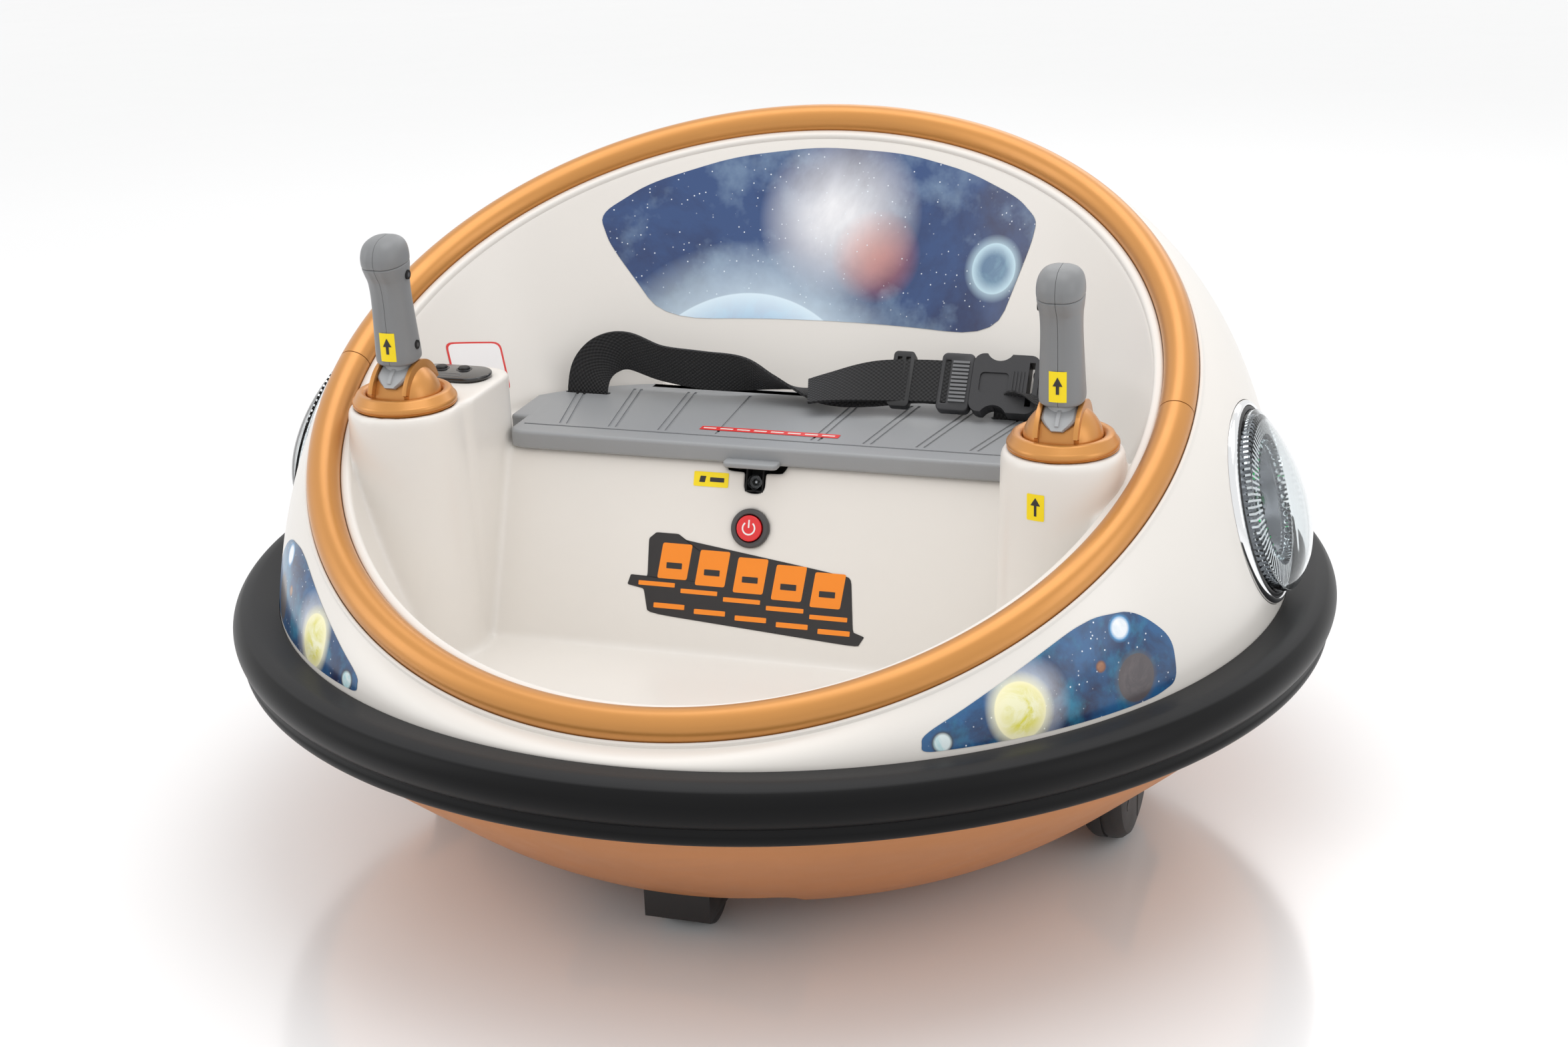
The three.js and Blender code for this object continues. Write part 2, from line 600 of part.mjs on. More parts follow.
function makeJoystick(side, name) {
  const base = group(side * PEDESTAL.x, PEDESTAL.y, PEDESTAL.top + GAP);
  piece(`${name}_collar`, turned([
    [25, -8], [PEDESTAL.bore - GAP - 0.2, -8], [PEDESTAL.bore - GAP - 0.2, 0], [34.3, 0], [34.3, 4],
    [31.5, 8.6], [28, 9.4], [25, 6.5],
  ], 18), bronze, base);
  const pivot = group(0, 0, 3, base);
  piece(`${name}_dome`, makeDome(), bronze, pivot);
  piece(`${name}_pivot_pin`, rod('x', STICK.pin, -21, 21, [0, 0], 12), steel, pivot);
  const moving = group(0, 0, 0, pivot);
  moving.rotation.x = STICK.lean;          // towards the front
  piece(`${name}_stem`, makeStem(), grey, moving);
  piece(`${name}_grip_left`, makeGripHalf(1), gripGrey, moving);
  piece(`${name}_grip_right`, makeGripHalf(-1), gripGrey, moving);
}

// ---------------------------------------------------------------- controls on the riser and console
function makeControls() {
  const panel = roundedRect(PANEL.length, PANEL.width, PANEL.width / 2 - 0.01);
  const buttonX = [-9, 8];
  for (const x of buttonX) {
    const hole = new THREE.Path();
    hole.absarc(x, 6, 4.4, 0, Math.PI * 2, true);
    panel.holes.push(hole);
  }
  const deck = group(PANEL.x, PANEL.y, PEDESTAL.top + GAP);
  piece('control_panel', plate(panel, PANEL.thick, 0, 6), black, deck);
  ['panel_button_outer', 'panel_button_inner'].forEach((name, i) => {
    piece(name, turned([[0, -4], [4, -4], [4, 4.2], [3, 5.6], [0, 6.2]], 16)
      .translate(buttonX[i], 6, 0), black, deck);
  });
  const face = new THREE.Group();
  face.applyMatrix4(riserFrame);
  car.add(face);
  const sleeve = POWER.bezel - 2.3;
  const bezel = turned([
    [9.3, -10], [sleeve, -10], [sleeve, 0.3], [POWER.bezel, 0.3], [POWER.bezel, 1.8],
    [12.4, 3.8], [10.4, 4.4], [9.3, 3.6],
  ], 20);
  const outwards = (geometry, height) => geometry.rotateX(Math.PI / 2).translate(0, 0, height);
  piece('power_bezel', outwards(bezel, POWER.height), charcoal, face);
  piece('power_button', outwards(turned(
    [[0, -9], [POWER.button, -9], [POWER.button, 3.6], [7.6, 4.8], [0, 5.3]], 20), POWER.height), red, face);
  const socket = solid(box([-8, 3.6, 109], [8, 22, 123]))
    .add(solid(rod('y', 4, 0.8, 4, [0, 118], 14)))
    .subtract(solid(rod('y', 2.4, -1, 16, [0, 118], 10)));
  piece('charge_socket', geometryOf(socket), black, face);
  const hingeTab = solid(box([-1.8, -1.4, 111.4], [1.8, 0.2, 115]));
  const cap = solid(rod('y', 4.9, -1.6, 0.4, [0, 118], 18)).add(hingeTab);
  piece('charge_cap', geometryOf(cap), clear, face);
}

// ---------------------------------------------------------------- headlights
function lightFrame(side) {
  const angle = side * Math.acos(-LIGHT.y / SKIRT.radius);
  let [low, high] = [0, 1];
  for (let i = 0; i < 30; i++) {
    const middle = (low + high) / 2;
    if (skirtPoint(angle, middle)[2] < LIGHT.z) low = middle;
    else high = middle;
  }
  const at = new THREE.Vector3(...skirtPoint(angle, low));
  const up = new THREE.Vector3(...skirtPoint(angle, low + 0.05)).sub(at);
  const along = new THREE.Vector3(...skirtPoint(angle + 0.02, low)).sub(at);
  const normal = along.clone().cross(up).normalize();
  const tall = up.normalize().applyAxisAngle(normal, side * -LIGHT.lean);
  if (normal.x * side < 0) normal.negate();
  const wide = tall.clone().cross(normal).normalize();
  return new THREE.Matrix4().makeBasis(wide, tall, normal).setPosition(at);
}

/** An oval loop set in by `inset` and raised by `height`, bent to the curve of the skirt. */
function oval(inset, height, count = 20) {
  return angles(count).map((a) => {
    const u = (LIGHT.halfU - inset) * Math.sin(a);
    const v = (LIGHT.halfV - inset) * Math.cos(a);
    return [u, v, height - (u * u) / 680 - (v * v) / 760];
  });
}

function lightHole(side) {
  const prism = loft([oval(-0.6, -22), oval(-0.6, 22)]);
  return solid(prism.applyMatrix4(lightFrame(side)));
}

function makeLight(side, name) {
  const frame = new THREE.Group();
  frame.applyMatrix4(lightFrame(side));
  car.add(frame);
  piece(`${name}_bezel`, loft([
    oval(0, -6), oval(0, 1.6), oval(2, 3.6), oval(5.5, 3), oval(7, 0.8), oval(7, -6),
  ], true), chrome, frame);
  const lensOut = [[7.4, -5.5], [8, 4.5], [22, 14], [44, 19.5]];
  const lensIn = [[44, 17], [23.4, 11.8], [10.4, 3], [9.6, -5.5]];
  piece(`${name}_lens`, dish(lensOut, lensIn), clear, frame);
  const bowlIn = [[10.2, -5.8], [22, -19], [44, -30]];
  const bowlOut = [[42, -32.4], [20, -21.4], [7.8, -5.8]];
  piece(`${name}_reflector`, dish(bowlOut.reverse(), bowlIn.reverse()), chrome, frame);
}

/** An oval dish: [inset, height] steps of one skin from its rim to its middle, then the other's back. */
function dish(first, second) {
  const skins = [first, second].map((steps) => steps.map(([inset, height]) => oval(inset, height)));
  const [outer, inner] = skins;
  const count = outer[0].length;
  const loops = [...outer, ...inner];
  const points = loops.flat();
  const faces = [];
  for (let i = 0; i < loops.length; i++) {
    if (i === outer.length - 1) continue;
    const next = (i + 1) % loops.length;
    for (let j = 0; j < count; j++) {
      const k = (j + 1) % count;
      const [a, b, c, d] = [i * count + j, i * count + k, next * count + k, next * count + j];
      faces.push(a, b, c, a, c, d);
    }
  }
  for (const [ring, order] of [[outer.length - 1, -1], [outer.length, 1]]) {
    const middle = [0, 0, loops[ring][0][2]];
    middle[2] = loops[ring].reduce((sum, p) => sum + p[2], 0) / count + 0.2;
    const centre = points.push(middle) - 1;
    for (let j = 0; j < count; j++) {
      const k = (j + 1) % count;
      const [a, b] = [ring * count + j, ring * count + k];
      if (order > 0) faces.push(centre, b, a);
      else faces.push(centre, a, b);
    }
  }
  return closedMesh(points, faces);
}

// ---------------------------------------------------------------- running gear
function makeDrive(side, name) {
  const hub = group(side * DRIVE.x, DRIVE.y, DRIVE.radius);
  const half = DRIVE.width / 2;
  const wheel = turned([
    [6, -half + 4], [20, -half + 4], [24, -half], [52, -half], [58, -half + 2.5], [DRIVE.radius, -half + 7],
    [DRIVE.radius, half - 7], [58, half - 2.5], [52, half], [24, half], [20, half - 4], [6, half - 4],
  ], 24).rotateY(Math.PI / 2);
  piece(`${name}_wheel`, wheel, black, hub);
  const inboard = (from, to) => (side > 0 ? [-to, -from] : [from, to]);
  piece(`${name}_axle`, rod('x', DRIVE.axle, ...inboard(-17, 50), [0, 0], 14), steel, hub);
  const [x0, x1] = inboard(21, 47);
  const casing = solid(plate(roundedRect(96, 84, 16), x1 - x0, x0, 3).rotateY(Math.PI / 2)
    .translate(0, 14, 14)).intersect(solid(box([-300, -60, -27], [300, 80, 67])));
  piece(`${name}_gearbox`, geometryOf(casing
    .subtract(solid(rod('x', DRIVE.axle + GAP, x0 - 5, x1 + 5, [0, 0], 14)))), charcoal, hub);
  const [m0, m1] = inboard(47.4, 104);
  piece(`${name}_motor`, rod('x', 18, m0, m1, [30, 22], 20), steel, hub);
}

function makeCaster(side, name) {
  const swivel = group(0, side * CASTER.y, 0);
  const topZ = CASTER.ceiling - GAP;
  piece(`${name}_plate`, plate(roundedRect(54, 54, 6), 3, topZ - 3, 2), steel, swivel);
  const trail = -CASTER.trail;
  const hoodRadius = CASTER.wheel + 4;
  const outline = new THREE.Shape();
  outline.moveTo(-hoodRadius, -10);
  outline.lineTo(hoodRadius, -10);
  outline.lineTo(hoodRadius, 8);
  outline.absarc(0, 8, hoodRadius, 0, Math.PI, false);
  outline.closePath();
  const settings = (depth) => ({ depth, bevelEnabled: false, curveSegments: 10 });
  const across = (shape, depth) => new THREE.ExtrudeGeometry(shape, settings(depth))
    .translate(0, 0, -depth / 2).rotateX(Math.PI / 2).rotateZ(Math.PI / 2).translate(0, trail, CASTER.wheel);
  const wheelSpan = (s) => [s * 12.6 - 7.2, s * 12.6 + 7.2];
  let hood = solid(across(outline, 44)).add(solid(rod('z', 9, CASTER.wheel + 20, topZ - 3.4, [0, 0], 16)));
  for (const s of [-1, 1]) {
    const [a, b] = wheelSpan(s);
    hood = hood.subtract(solid(rod('x', CASTER.wheel + 1.6, a, b, [trail, CASTER.wheel], 16)));
    hood = hood.subtract(solid(box(
      [a, trail - CASTER.wheel - 1.6, -5], [b, trail + CASTER.wheel + 1.6, CASTER.wheel])));
  }
  hood = hood.subtract(solid(rod('x', 3.3, -30, 30, [trail, CASTER.wheel], 10)));
  piece(`${name}_hood`, geometryOf(hood), black, swivel);
  const axle = group(0, trail, CASTER.wheel, swivel);
  piece(`${name}_axle`, rod('x', 3, -21.6, 21.6, [0, 0], 12), steel, axle);
  for (const [s, label] of [[1, 'left'], [-1, 'right']]) {
    const half = CASTER.wheelWidth / 2;
    piece(`${name}_wheel_${label}`, turned([
      [3.4, -half], [CASTER.wheel - 2, -half], [CASTER.wheel, -half + 2.5],
      [CASTER.wheel, half - 2.5], [CASTER.wheel - 2, half], [3.4, half],
    ], 16).rotateY(Math.PI / 2).translate(s * 12.6, 0, 0), charcoal, axle);
  }
}

// ---------------------------------------------------------------- electrics in the battery bay
function makeElectrics() {
  const floor = TUB.floor + GAP;
  piece('battery', plate(roundedRect(150, 57, 5), 92, floor, 2).translate(0, -9.5, 0), charcoal);
  const strapOutline = new THREE.Shape([
    [-80, 0], [-77, 0], [-77, 93], [77, 93], [77, 0], [80, 0], [80, 96], [-80, 96],
  ].map(([x, z]) => new THREE.Vector2(x, z)));
  piece('battery_strap', new THREE.ExtrudeGeometry(strapOutline, { depth: 20, bevelEnabled: false })
    .rotateX(Math.PI / 2).translate(0, 0, floor), steel);
  piece('control_board', plate(roundedRect(52, 50, 3), 14, floor, 2).translate(118, -24, 0), green);
  piece('speaker', turned([[0, 0], [17, 0], [26, 14], [29, 14], [29, 17], [0, 17]], 20)
    .translate(-118, -32, floor), black);
}

// ---------------------------------------------------------------- assembly
piece('outer_shell', makeOuterShell(), white);
piece('inner_tub', makeInnerTub(), white);
piece('ring_front', makeRingHalf(0), bronze);
piece('ring_rear', makeRingHalf(Math.PI), bronze);
piece('bumper_ring', makeBumper(), rubber);
piece('bottom_pan', makeBottomPan(), panBronze);
piece('seat_lid', makeSeatLid(), grey);
for (const [x, name] of [[106, 'left'], [-106, 'right']]) {
  piece(`seat_hinge_pin_${name}`, rod('x', LID.pin, x - 13, x + 13, [LID.hingeY, LID.hingeZ], 12), steel);
}
makeBelt();
makeJoystick(1, 'joystick_left');
makeJoystick(-1, 'joystick_right');
makeControls();
makeLight(1, 'headlight_left');
makeLight(-1, 'headlight_right');
makeDrive(1, 'drive_left');
makeDrive(-1, 'drive_right');
makeCaster(-1, 'caster_front');
makeCaster(1, 'caster_rear');
makeElectrics();

export default car;
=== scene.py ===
import json
import math

import bmesh
import bpy
import numpy as np
from mathutils import Matrix, Vector
from mathutils.bvhtree import BVHTree

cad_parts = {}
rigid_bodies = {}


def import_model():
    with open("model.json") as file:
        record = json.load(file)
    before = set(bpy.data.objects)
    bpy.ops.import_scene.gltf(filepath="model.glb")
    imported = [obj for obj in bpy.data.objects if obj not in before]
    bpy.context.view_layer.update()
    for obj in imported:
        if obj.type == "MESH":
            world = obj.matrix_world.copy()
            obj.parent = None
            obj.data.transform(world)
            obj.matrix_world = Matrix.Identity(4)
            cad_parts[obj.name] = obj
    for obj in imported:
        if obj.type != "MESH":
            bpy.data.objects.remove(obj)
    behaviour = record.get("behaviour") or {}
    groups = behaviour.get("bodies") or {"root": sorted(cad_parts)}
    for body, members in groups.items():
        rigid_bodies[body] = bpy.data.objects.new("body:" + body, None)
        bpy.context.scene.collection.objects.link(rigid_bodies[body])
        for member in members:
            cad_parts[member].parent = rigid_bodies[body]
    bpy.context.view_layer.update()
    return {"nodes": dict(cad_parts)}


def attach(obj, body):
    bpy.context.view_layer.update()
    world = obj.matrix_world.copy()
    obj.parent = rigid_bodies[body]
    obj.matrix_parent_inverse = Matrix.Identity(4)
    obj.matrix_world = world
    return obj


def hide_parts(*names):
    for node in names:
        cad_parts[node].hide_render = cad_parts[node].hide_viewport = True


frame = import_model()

BODY = "car"
RISER_LEAN = math.atan2(46, 122)


# ---------------------------------------------------------------- meshes (millimetres in, metres out)
def make(name, points, faces, mat, body=BODY, stands_for=(), slot=None, sharp=32, place=None):
    """A piece from points in millimetres; place is a matrix in millimetres."""
    points = np.asarray(points, float).reshape(-1, 3)
    if place is not None:
        m = np.array(place, float)
        points = points @ m[:3, :3].T + m[:3, 3]
    data = bpy.data.meshes.new(name)
    data.from_pydata((points * 0.001).tolist(), [], [list(map(int, f)) for f in faces])
    b = bmesh.new()
    b.from_mesh(data)
    bmesh.ops.remove_doubles(b, verts=b.verts, dist=2e-6)
    bmesh.ops.dissolve_degenerate(b, edges=b.edges, dist=1e-7)
    bmesh.ops.recalc_face_normals(b, faces=b.faces)
    b.to_mesh(data)
    b.free()
    obj = bpy.data.objects.new(name, data)
    bpy.context.scene.collection.objects.link(obj)
    data.materials.append(mat)
    soften(obj, sharp)
    if body:
        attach(obj, body)
    if stands_for:
        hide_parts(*stands_for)
    return obj


def soften(obj, sharp=32):
    obj.data.polygons.foreach_set("use_smooth", [True] * len(obj.data.polygons))
    obj.data.set_sharp_from_angle(angle=math.radians(sharp))


def bake(obj):
    """Applies the object's modifiers."""
    graph = bpy.context.evaluated_depsgraph_get()
    graph.update()
    data = bpy.data.meshes.new_from_object(obj.evaluated_get(graph))
    obj.modifiers.clear()
    obj.data = data
    return obj


def modify(obj, kind, **settings):
    m = obj.modifiers.new(kind.lower(), kind)
    for key, value in settings.items():
        setattr(m, key, value)
    return m


def bevel(obj, width, segments=3, angle=35):
    modify(obj, "BEVEL", width=width * 0.001, segments=segments, limit_method="ANGLE",
           angle_limit=math.radians(angle), use_clamp_overlap=True)
    bake(obj)
    soften(obj, 40)
    return obj


def combine(obj, tool, operation="DIFFERENCE"):
    modify(obj, "BOOLEAN", object=tool, operation=operation, solver="EXACT")
    bake(obj)
    bpy.data.objects.remove(tool)
    soften(obj)
    return obj


def loft(loops, around=False, caps=True):
    """Points and quads through equal-length loops."""
    loops = np.asarray(loops, float)
    n, m = loops.shape[:2]
    faces = []
    for i in range(n if around else n - 1):
        a, b = i * m, ((i + 1) % n) * m
        faces += [(a + j, a + (j + 1) % m, b + (j + 1) % m, b + j) for j in range(m)]
    if caps and not around:
        faces += [tuple(range(m))[::-1], tuple(range((n - 1) * m, n * m))]
    return loops.reshape(-1, 3), faces


def turned(profile, sides=96):
    """A closed body of revolution about Z from (radius, height) points."""
    a = np.arange(sides) * 2 * math.pi / sides
    loops = [np.stack([r * np.sin(a), -r * np.cos(a), np.full(sides, h)], 1) for r, h in profile]
    return loft(loops, around=profile[0][0] > 0, caps=False)


def box(lo, hi):
    (a, b, c), (d, e, f) = lo, hi
    pts = [(a, b, c), (d, b, c), (d, e, c), (a, e, c), (a, b, f), (d, b, f), (d, e, f), (a, e, f)]
    return pts, [(0, 3, 2, 1), (4, 5, 6, 7), (0, 1, 5, 4), (1, 2, 6, 5), (2, 3, 7, 6), (3, 0, 4, 7)]


def prism(outline, low, high):
    """An outline in XY carried from one height to another."""
    o = np.asarray(outline, float)
    n = len(o)
    pts = [(x, y, low) for x, y in o] + [(x, y, high) for x, y in o]
    faces = [tuple(range(n))[::-1], tuple(range(n, 2 * n))]
    return pts, faces + [(i, (i + 1) % n, n + (i + 1) % n, n + i) for i in range(n)]


def rounded(width, length, radius, steps=6, at=(0, 0)):
    out = []
    for cx, cy, start in ((1, 1, 0), (-1, 1, 90), (-1, -1, 180), (1, -1, 270)):
        for k in range(steps + 1):
            a = math.radians(start + 90 * k / steps)
            out.append((at[0] + cx * (width / 2 - radius) + radius * math.cos(a),
                        at[1] + cy * (length / 2 - radius) + radius * math.sin(a)))
    return out


def circle(radius, count=40, at=(0, 0)):
    return [(at[0] + radius * math.cos(2 * math.pi * k / count),
             at[1] + radius * math.sin(2 * math.pi * k / count)) for k in range(count)]


def rod(axis, radius, start, end, at, sides=32):
    o = circle(radius, sides)
    pts, faces = prism(o, start, end)
    p = np.asarray(pts)
    if axis == "x":
        p = np.stack([p[:, 2], p[:, 0] + at[0], p[:, 1] + at[1]], 1)
    elif axis == "y":
        p = np.stack([p[:, 1] + at[0], p[:, 2], p[:, 0] + at[1]], 1)
    else:
        p = p + np.array([at[0], at[1], 0])
    return p, faces


def joined(*shapes):
    pts, faces = [], []
    for p, f in shapes:
        faces += [tuple(i + len(pts) for i in face) for face in f]
        pts += [tuple(x) for x in np.asarray(p)]
    return pts, faces


def shifted(shape, offset):
    return np.asarray(shape[0], float) + np.asarray(offset, float), shape[1]


def tool(shape, place=None):
    return make("tool", *shape, None, body=None, place=place)


def dress(obj, name, mat, body=BODY, place=None, stands_for=()):
    """Turns a bare cutting solid into a finished piece; place is a matrix in millimetres."""
    if place is not None:
        metres = place.copy()
        metres.translation *= 0.001
        obj.data.transform(metres)
    obj.name = name
    obj.data.materials.clear()
    obj.data.materials.append(mat)
    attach(obj, body)
    if stands_for:
        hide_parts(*stands_for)
    return obj


def arc(r, z, radius, start, end, steps):
    return [(r + radius * math.cos(math.radians(start + (end - start) * k / steps)),
             z + radius * math.sin(math.radians(start + (end - start) * k / steps)))
            for k in range(steps + 1)]


def spline(stations, count):
    """Catmull-Rom through rows of numbers."""
    s = np.asarray(stations, float)
    s = np.vstack([2 * s[0] - s[1], s, 2 * s[-1] - s[-2]])
    out = []
    for t in np.linspace(0, len(s) - 3 - 1e-9, count):
        i = int(t)
        u = t - i
        a, b, c, d = s[i:i + 4]
        out.append(0.5 * (2 * b + (c - a) * u + (2 * a - 5 * b + 4 * c - d) * u * u
                          + (3 * b - a - 3 * c + d) * u ** 3))
    return np.array(out)


def matrix(origin, x, y, z):
    m = Matrix.Identity(4)
    for k, col in enumerate((x, y, z, origin)):
        for i in range(3):
            m[i][k] = col[i]
    return m


# ---------------------------------------------------------------- the car's main curves
RING_Y, RING_Z, TILT, RING_R, TUBE = -68, 313.4, math.radians(27), 281, 11


def ring_point(angle, radius, lift=0.0):
    s, c = math.sin(TILT), math.cos(TILT)
    along = -radius * np.cos(angle)
    return np.stack([radius * np.sin(angle), RING_Y + along * c - lift * s,
                     RING_Z + along * s + lift * c], -1)


def base_point(angle, radius, height):
    return np.stack([radius * np.sin(angle), -radius * np.cos(angle),
                     np.full(np.shape(angle), float(height))], -1)


def skirt_point(angle, t, inset=0.0):
    foot = base_point(angle, 344 - inset, 172)
    lip = ring_point(angle, RING_R + 14 - inset, -12 if inset else -3)
    rise = lip[..., 2] - 172
    knee = np.stack([foot[..., 0] * (1 - 0.08 * rise / 270), foot[..., 1] * (1 - 0.08 * rise / 270),
                     172 + 0.87 * rise], -1)
    return (1 - t) ** 2 * foot + 2 * t * (1 - t) * knee + t * t * lip


def tub_foot(angle, grow, height):
    def round_off(v):
        return np.sign(v) * np.abs(v) ** (2 / 3.4)
    return np.stack([(200 + grow) * round_off(np.sin(angle)),
                     -115 - (150 + grow) * round_off(np.cos(angle)),
                     np.full(np.shape(angle), float(height))], -1)


def riser(x, up, out=0.0):
    """A point on the riser's face: across, up the slope, and out of the face."""
    s, c = math.sin(RISER_LEAN), math.cos(RISER_LEAN)
    return (x, -96 + up * s - out * c, 133 + up * c + out * s)


RISER = Matrix.Translation((0, -96, 133)) @ Matrix.Rotation(-RISER_LEAN, 4, "X")


# ---------------------------------------------------------------- materials
class Shader:
    """A small wrapper for building one procedural material."""

    def __init__(self, name, color, rough, metal=0.0, **inputs):
        self.mat = bpy.data.materials.new(name)
        self.mat.use_nodes = True
        self.nodes = self.mat.node_tree.nodes
        self.links = self.mat.node_tree.links
        self.out = self.nodes["Principled BSDF"]
        self.at = self.nodes.new("ShaderNodeTexCoord").outputs["Object"]
        self.out.inputs["Base Color"].default_value = (*color, 1)
        self.out.inputs["Roughness"].default_value = rough
        self.out.inputs["Metallic"].default_value = metal
        for key, value in inputs.items():
            self.out.inputs[key.replace("_", " ")].default_value = value
        self.color = color
        self.rough = rough

    def put(self, socket, value):
        if isinstance(value, bpy.types.NodeSocket):
            self.links.new(value, socket)
        else:
            socket.default_value = value

    def noise(self, scale, detail=3.0, at=None, rough=0.5, distortion=0.0):
        n = self.nodes.new("ShaderNodeTexNoise")
        n.inputs["Scale"].default_value = scale
        n.inputs["Detail"].default_value = detail
        n.inputs["Roughness"].default_value = rough
        n.inputs["Distortion"].default_value = distortion
        self.put(n.inputs["Vector"], at or self.at)
        return n.outputs["Fac"]

    def cells(self, scale, at=None):
        n = self.nodes.new("ShaderNodeTexVoronoi")
        n.inputs["Scale"].default_value = scale
        self.put(n.inputs["Vector"], at or self.at)
        return n.outputs

    def fit(self, value, a, b, c=0.0, d=1.0):
        n = self.nodes.new("ShaderNodeMapRange")
        for key, v in (("From Min", a), ("From Max", b), ("To Min", c), ("To Max", d)):
            n.inputs[key].default_value = v
        self.put(n.inputs["Value"], value)
        return n.outputs["Result"]

    def math(self, kind, a, b=0.0):
        n = self.nodes.new("ShaderNodeMath")
        n.operation = kind
        self.put(n.inputs[0], a)
        self.put(n.inputs[1], b)
        return n.outputs[0]

    def mix(self, factor, a, b):
        n = self.nodes.new("ShaderNodeMix")
        n.data_type = "RGBA"
        self.put(n.inputs["Factor"], factor)
        for key, v in ((6, a), (7, b)):
            self.put(n.inputs[key], v if isinstance(v, bpy.types.NodeSocket) else (*v, 1))
        return n.outputs[2]

    def axis(self, which, at=None):
        n = self.nodes.new("ShaderNodeSeparateXYZ")
        self.put(n.inputs[0], at or self.at)
        return n.outputs[which]

    def scaled(self, x, y, z, at=None):
        n = self.nodes.new("ShaderNodeVectorMath")
        n.operation = "MULTIPLY"
        self.put(n.inputs[0], at or self.at)
        n.inputs[1].default_value = (x, y, z)
        return n.outputs[0]

    def from_point(self, point):
        """Distance in millimetres from a point."""
        n = self.nodes.new("ShaderNodeVectorMath")
        n.operation = "DISTANCE"
        self.put(n.inputs[0], self.at)
        n.inputs[1].default_value = [v * 0.001 for v in point]
        return self.math("MULTIPLY", n.outputs["Value"], 1000)

    def bump(self, height, depth):
        """Raises the surface by up to depth millimetres."""
        n = self.nodes.new("ShaderNodeBump")
        n.inputs["Strength"].default_value = 1.0
        n.inputs["Distance"].default_value = depth * 0.001
        old = self.out.inputs["Normal"]
        if old.is_linked:
            self.links.new(old.links[0].from_socket, n.inputs["Normal"])
        self.put(n.inputs["Height"], height)
        self.put(old, n.outputs["Normal"])
        return self

    def tint(self, scale, share):
        """Drifts the colour by a share between darker and lighter."""
        dark = [v * (1 - share) for v in self.color]
        light = [min(1, v * (1 + share)) for v in self.color]
        self.put(self.out.inputs["Base Color"], self.mix(self.fit(self.noise(scale), 0.3, 0.7), dark, light))
        return self

    def wear(self, scale, share):
        """Drifts the roughness."""
        self.put(self.out.inputs["Roughness"],
                 self.fit(self.noise(scale, 5), 0.3, 0.7, self.rough - share, self.rough + share))
        return self


def plastic(name, color, rough, metal=0.0, grain=900, depth=0.02, drift=0.03, **inputs):
    s = Shader(name, color, rough, metal, **inputs).tint(9, drift).wear(40, 0.03)
    return s.bump(s.noise(grain, 2), depth)


white = plastic("shell_white", (0.80, 0.765, 0.72), 0.34, depth=0.012, drift=0.012,
                Coat_Weight=0.25, Coat_Roughness=0.2)
white.bump(white.noise(12, 1), 0.25)
WHITE = white.mat
bronze = plastic("ring_bronze", (0.60, 0.265, 0.062), 0.36, 0.55, grain=3500, depth=0.02, drift=0.03,
                 Coat_Weight=0.35, Coat_Roughness=0.22)
BRONZE = bronze.mat
pan = plastic("pan_bronze", (0.55, 0.235, 0.088), 0.48, 0.3, depth=0.03, drift=0.06)
pan.bump(pan.noise(7, 2, distortion=1.2), 5.0)
PAN = pan.mat
rubber = plastic("bumper_rubber", (0.006, 0.006, 0.0065), 0.38, drift=0.1, grain=600, depth=0.03,
                 Specular_IOR_Level=0.15)
# The flat top face gets a lighter base colour, which is a painted reflection of the bright surroundings, and
# a higher roughness.
flat_top_sheen = rubber.fit(rubber.axis(2), 0.1712, 0.1722)
rubber.put(rubber.out.inputs["Base Color"],
           rubber.mix(flat_top_sheen, (0.0055, 0.0055, 0.006), (0.026, 0.026, 0.027)))
rubber.put(rubber.out.inputs["Roughness"], rubber.fit(flat_top_sheen, 0, 1, 0.38, 0.5))
RUBBER = rubber.mat
SEAT = plastic("seat_grey", (0.30, 0.308, 0.318), 0.42, grain=1500, depth=0.05).mat
GRIP = plastic("grip_grey", (0.215, 0.22, 0.226), 0.42, grain=1500, depth=0.03).mat
STEM = plastic("stem_grey", (0.40, 0.41, 0.42), 0.4).mat
CHARCOAL = plastic("buckle_charcoal", (0.028, 0.028, 0.031), 0.42, grain=1400, depth=0.04).mat
LADDER = plastic("ladder_grey", (0.16, 0.163, 0.17), 0.4).mat
GLOSS = plastic("gloss_black", (0.01, 0.01, 0.011), 0.14, depth=0.004,
                Coat_Weight=0.6, Coat_Roughness=0.06).mat
BLACK = plastic("satin_black", (0.012, 0.012, 0.013), 0.42, depth=0.03).mat
# Near-black matte: painted shade for slits, holes and recesses.
HOLLOW_SHADE = plastic("painted_hollow_shade", (0.004, 0.004, 0.004), 0.8).mat
BEZEL = plastic("bezel_grey", (0.06, 0.058, 0.06), 0.35).mat
RED = plastic("button_red", (0.76, 0.008, 0.012), 0.22, depth=0.005, Coat_Weight=0.5, Coat_Roughness=0.08).mat
MARK = plastic("mark_white", (0.9, 0.88, 0.88), 0.35).mat
CHROME = plastic("chrome", (0.86, 0.87, 0.88), 0.07, 1.0, depth=0.001, drift=0.01).mat
SILVER = plastic("reflector_silver", (0.21, 0.215, 0.23), 0.26, 1.0, depth=0.003, drift=0.01).mat
STEEL = plastic("bare_steel", (0.55, 0.55, 0.56), 0.34, 1.0, depth=0.01).mat
TYRE = plastic("wheel_black", (0.018, 0.018, 0.019), 0.55, grain=500, depth=0.08).mat
YELLOW = plastic("sticker_yellow", (0.98, 0.74, 0.0), 0.3, depth=0.004).mat
ORANGE = plastic("sticker_orange", (0.95, 0.265, 0.008), 0.32, depth=0.004).mat
INK = plastic("sticker_black", (0.02, 0.017, 0.017), 0.3, depth=0.004).mat
REDINK = plastic("sticker_red", (0.72, 0.035, 0.03), 0.35, depth=0.004).mat
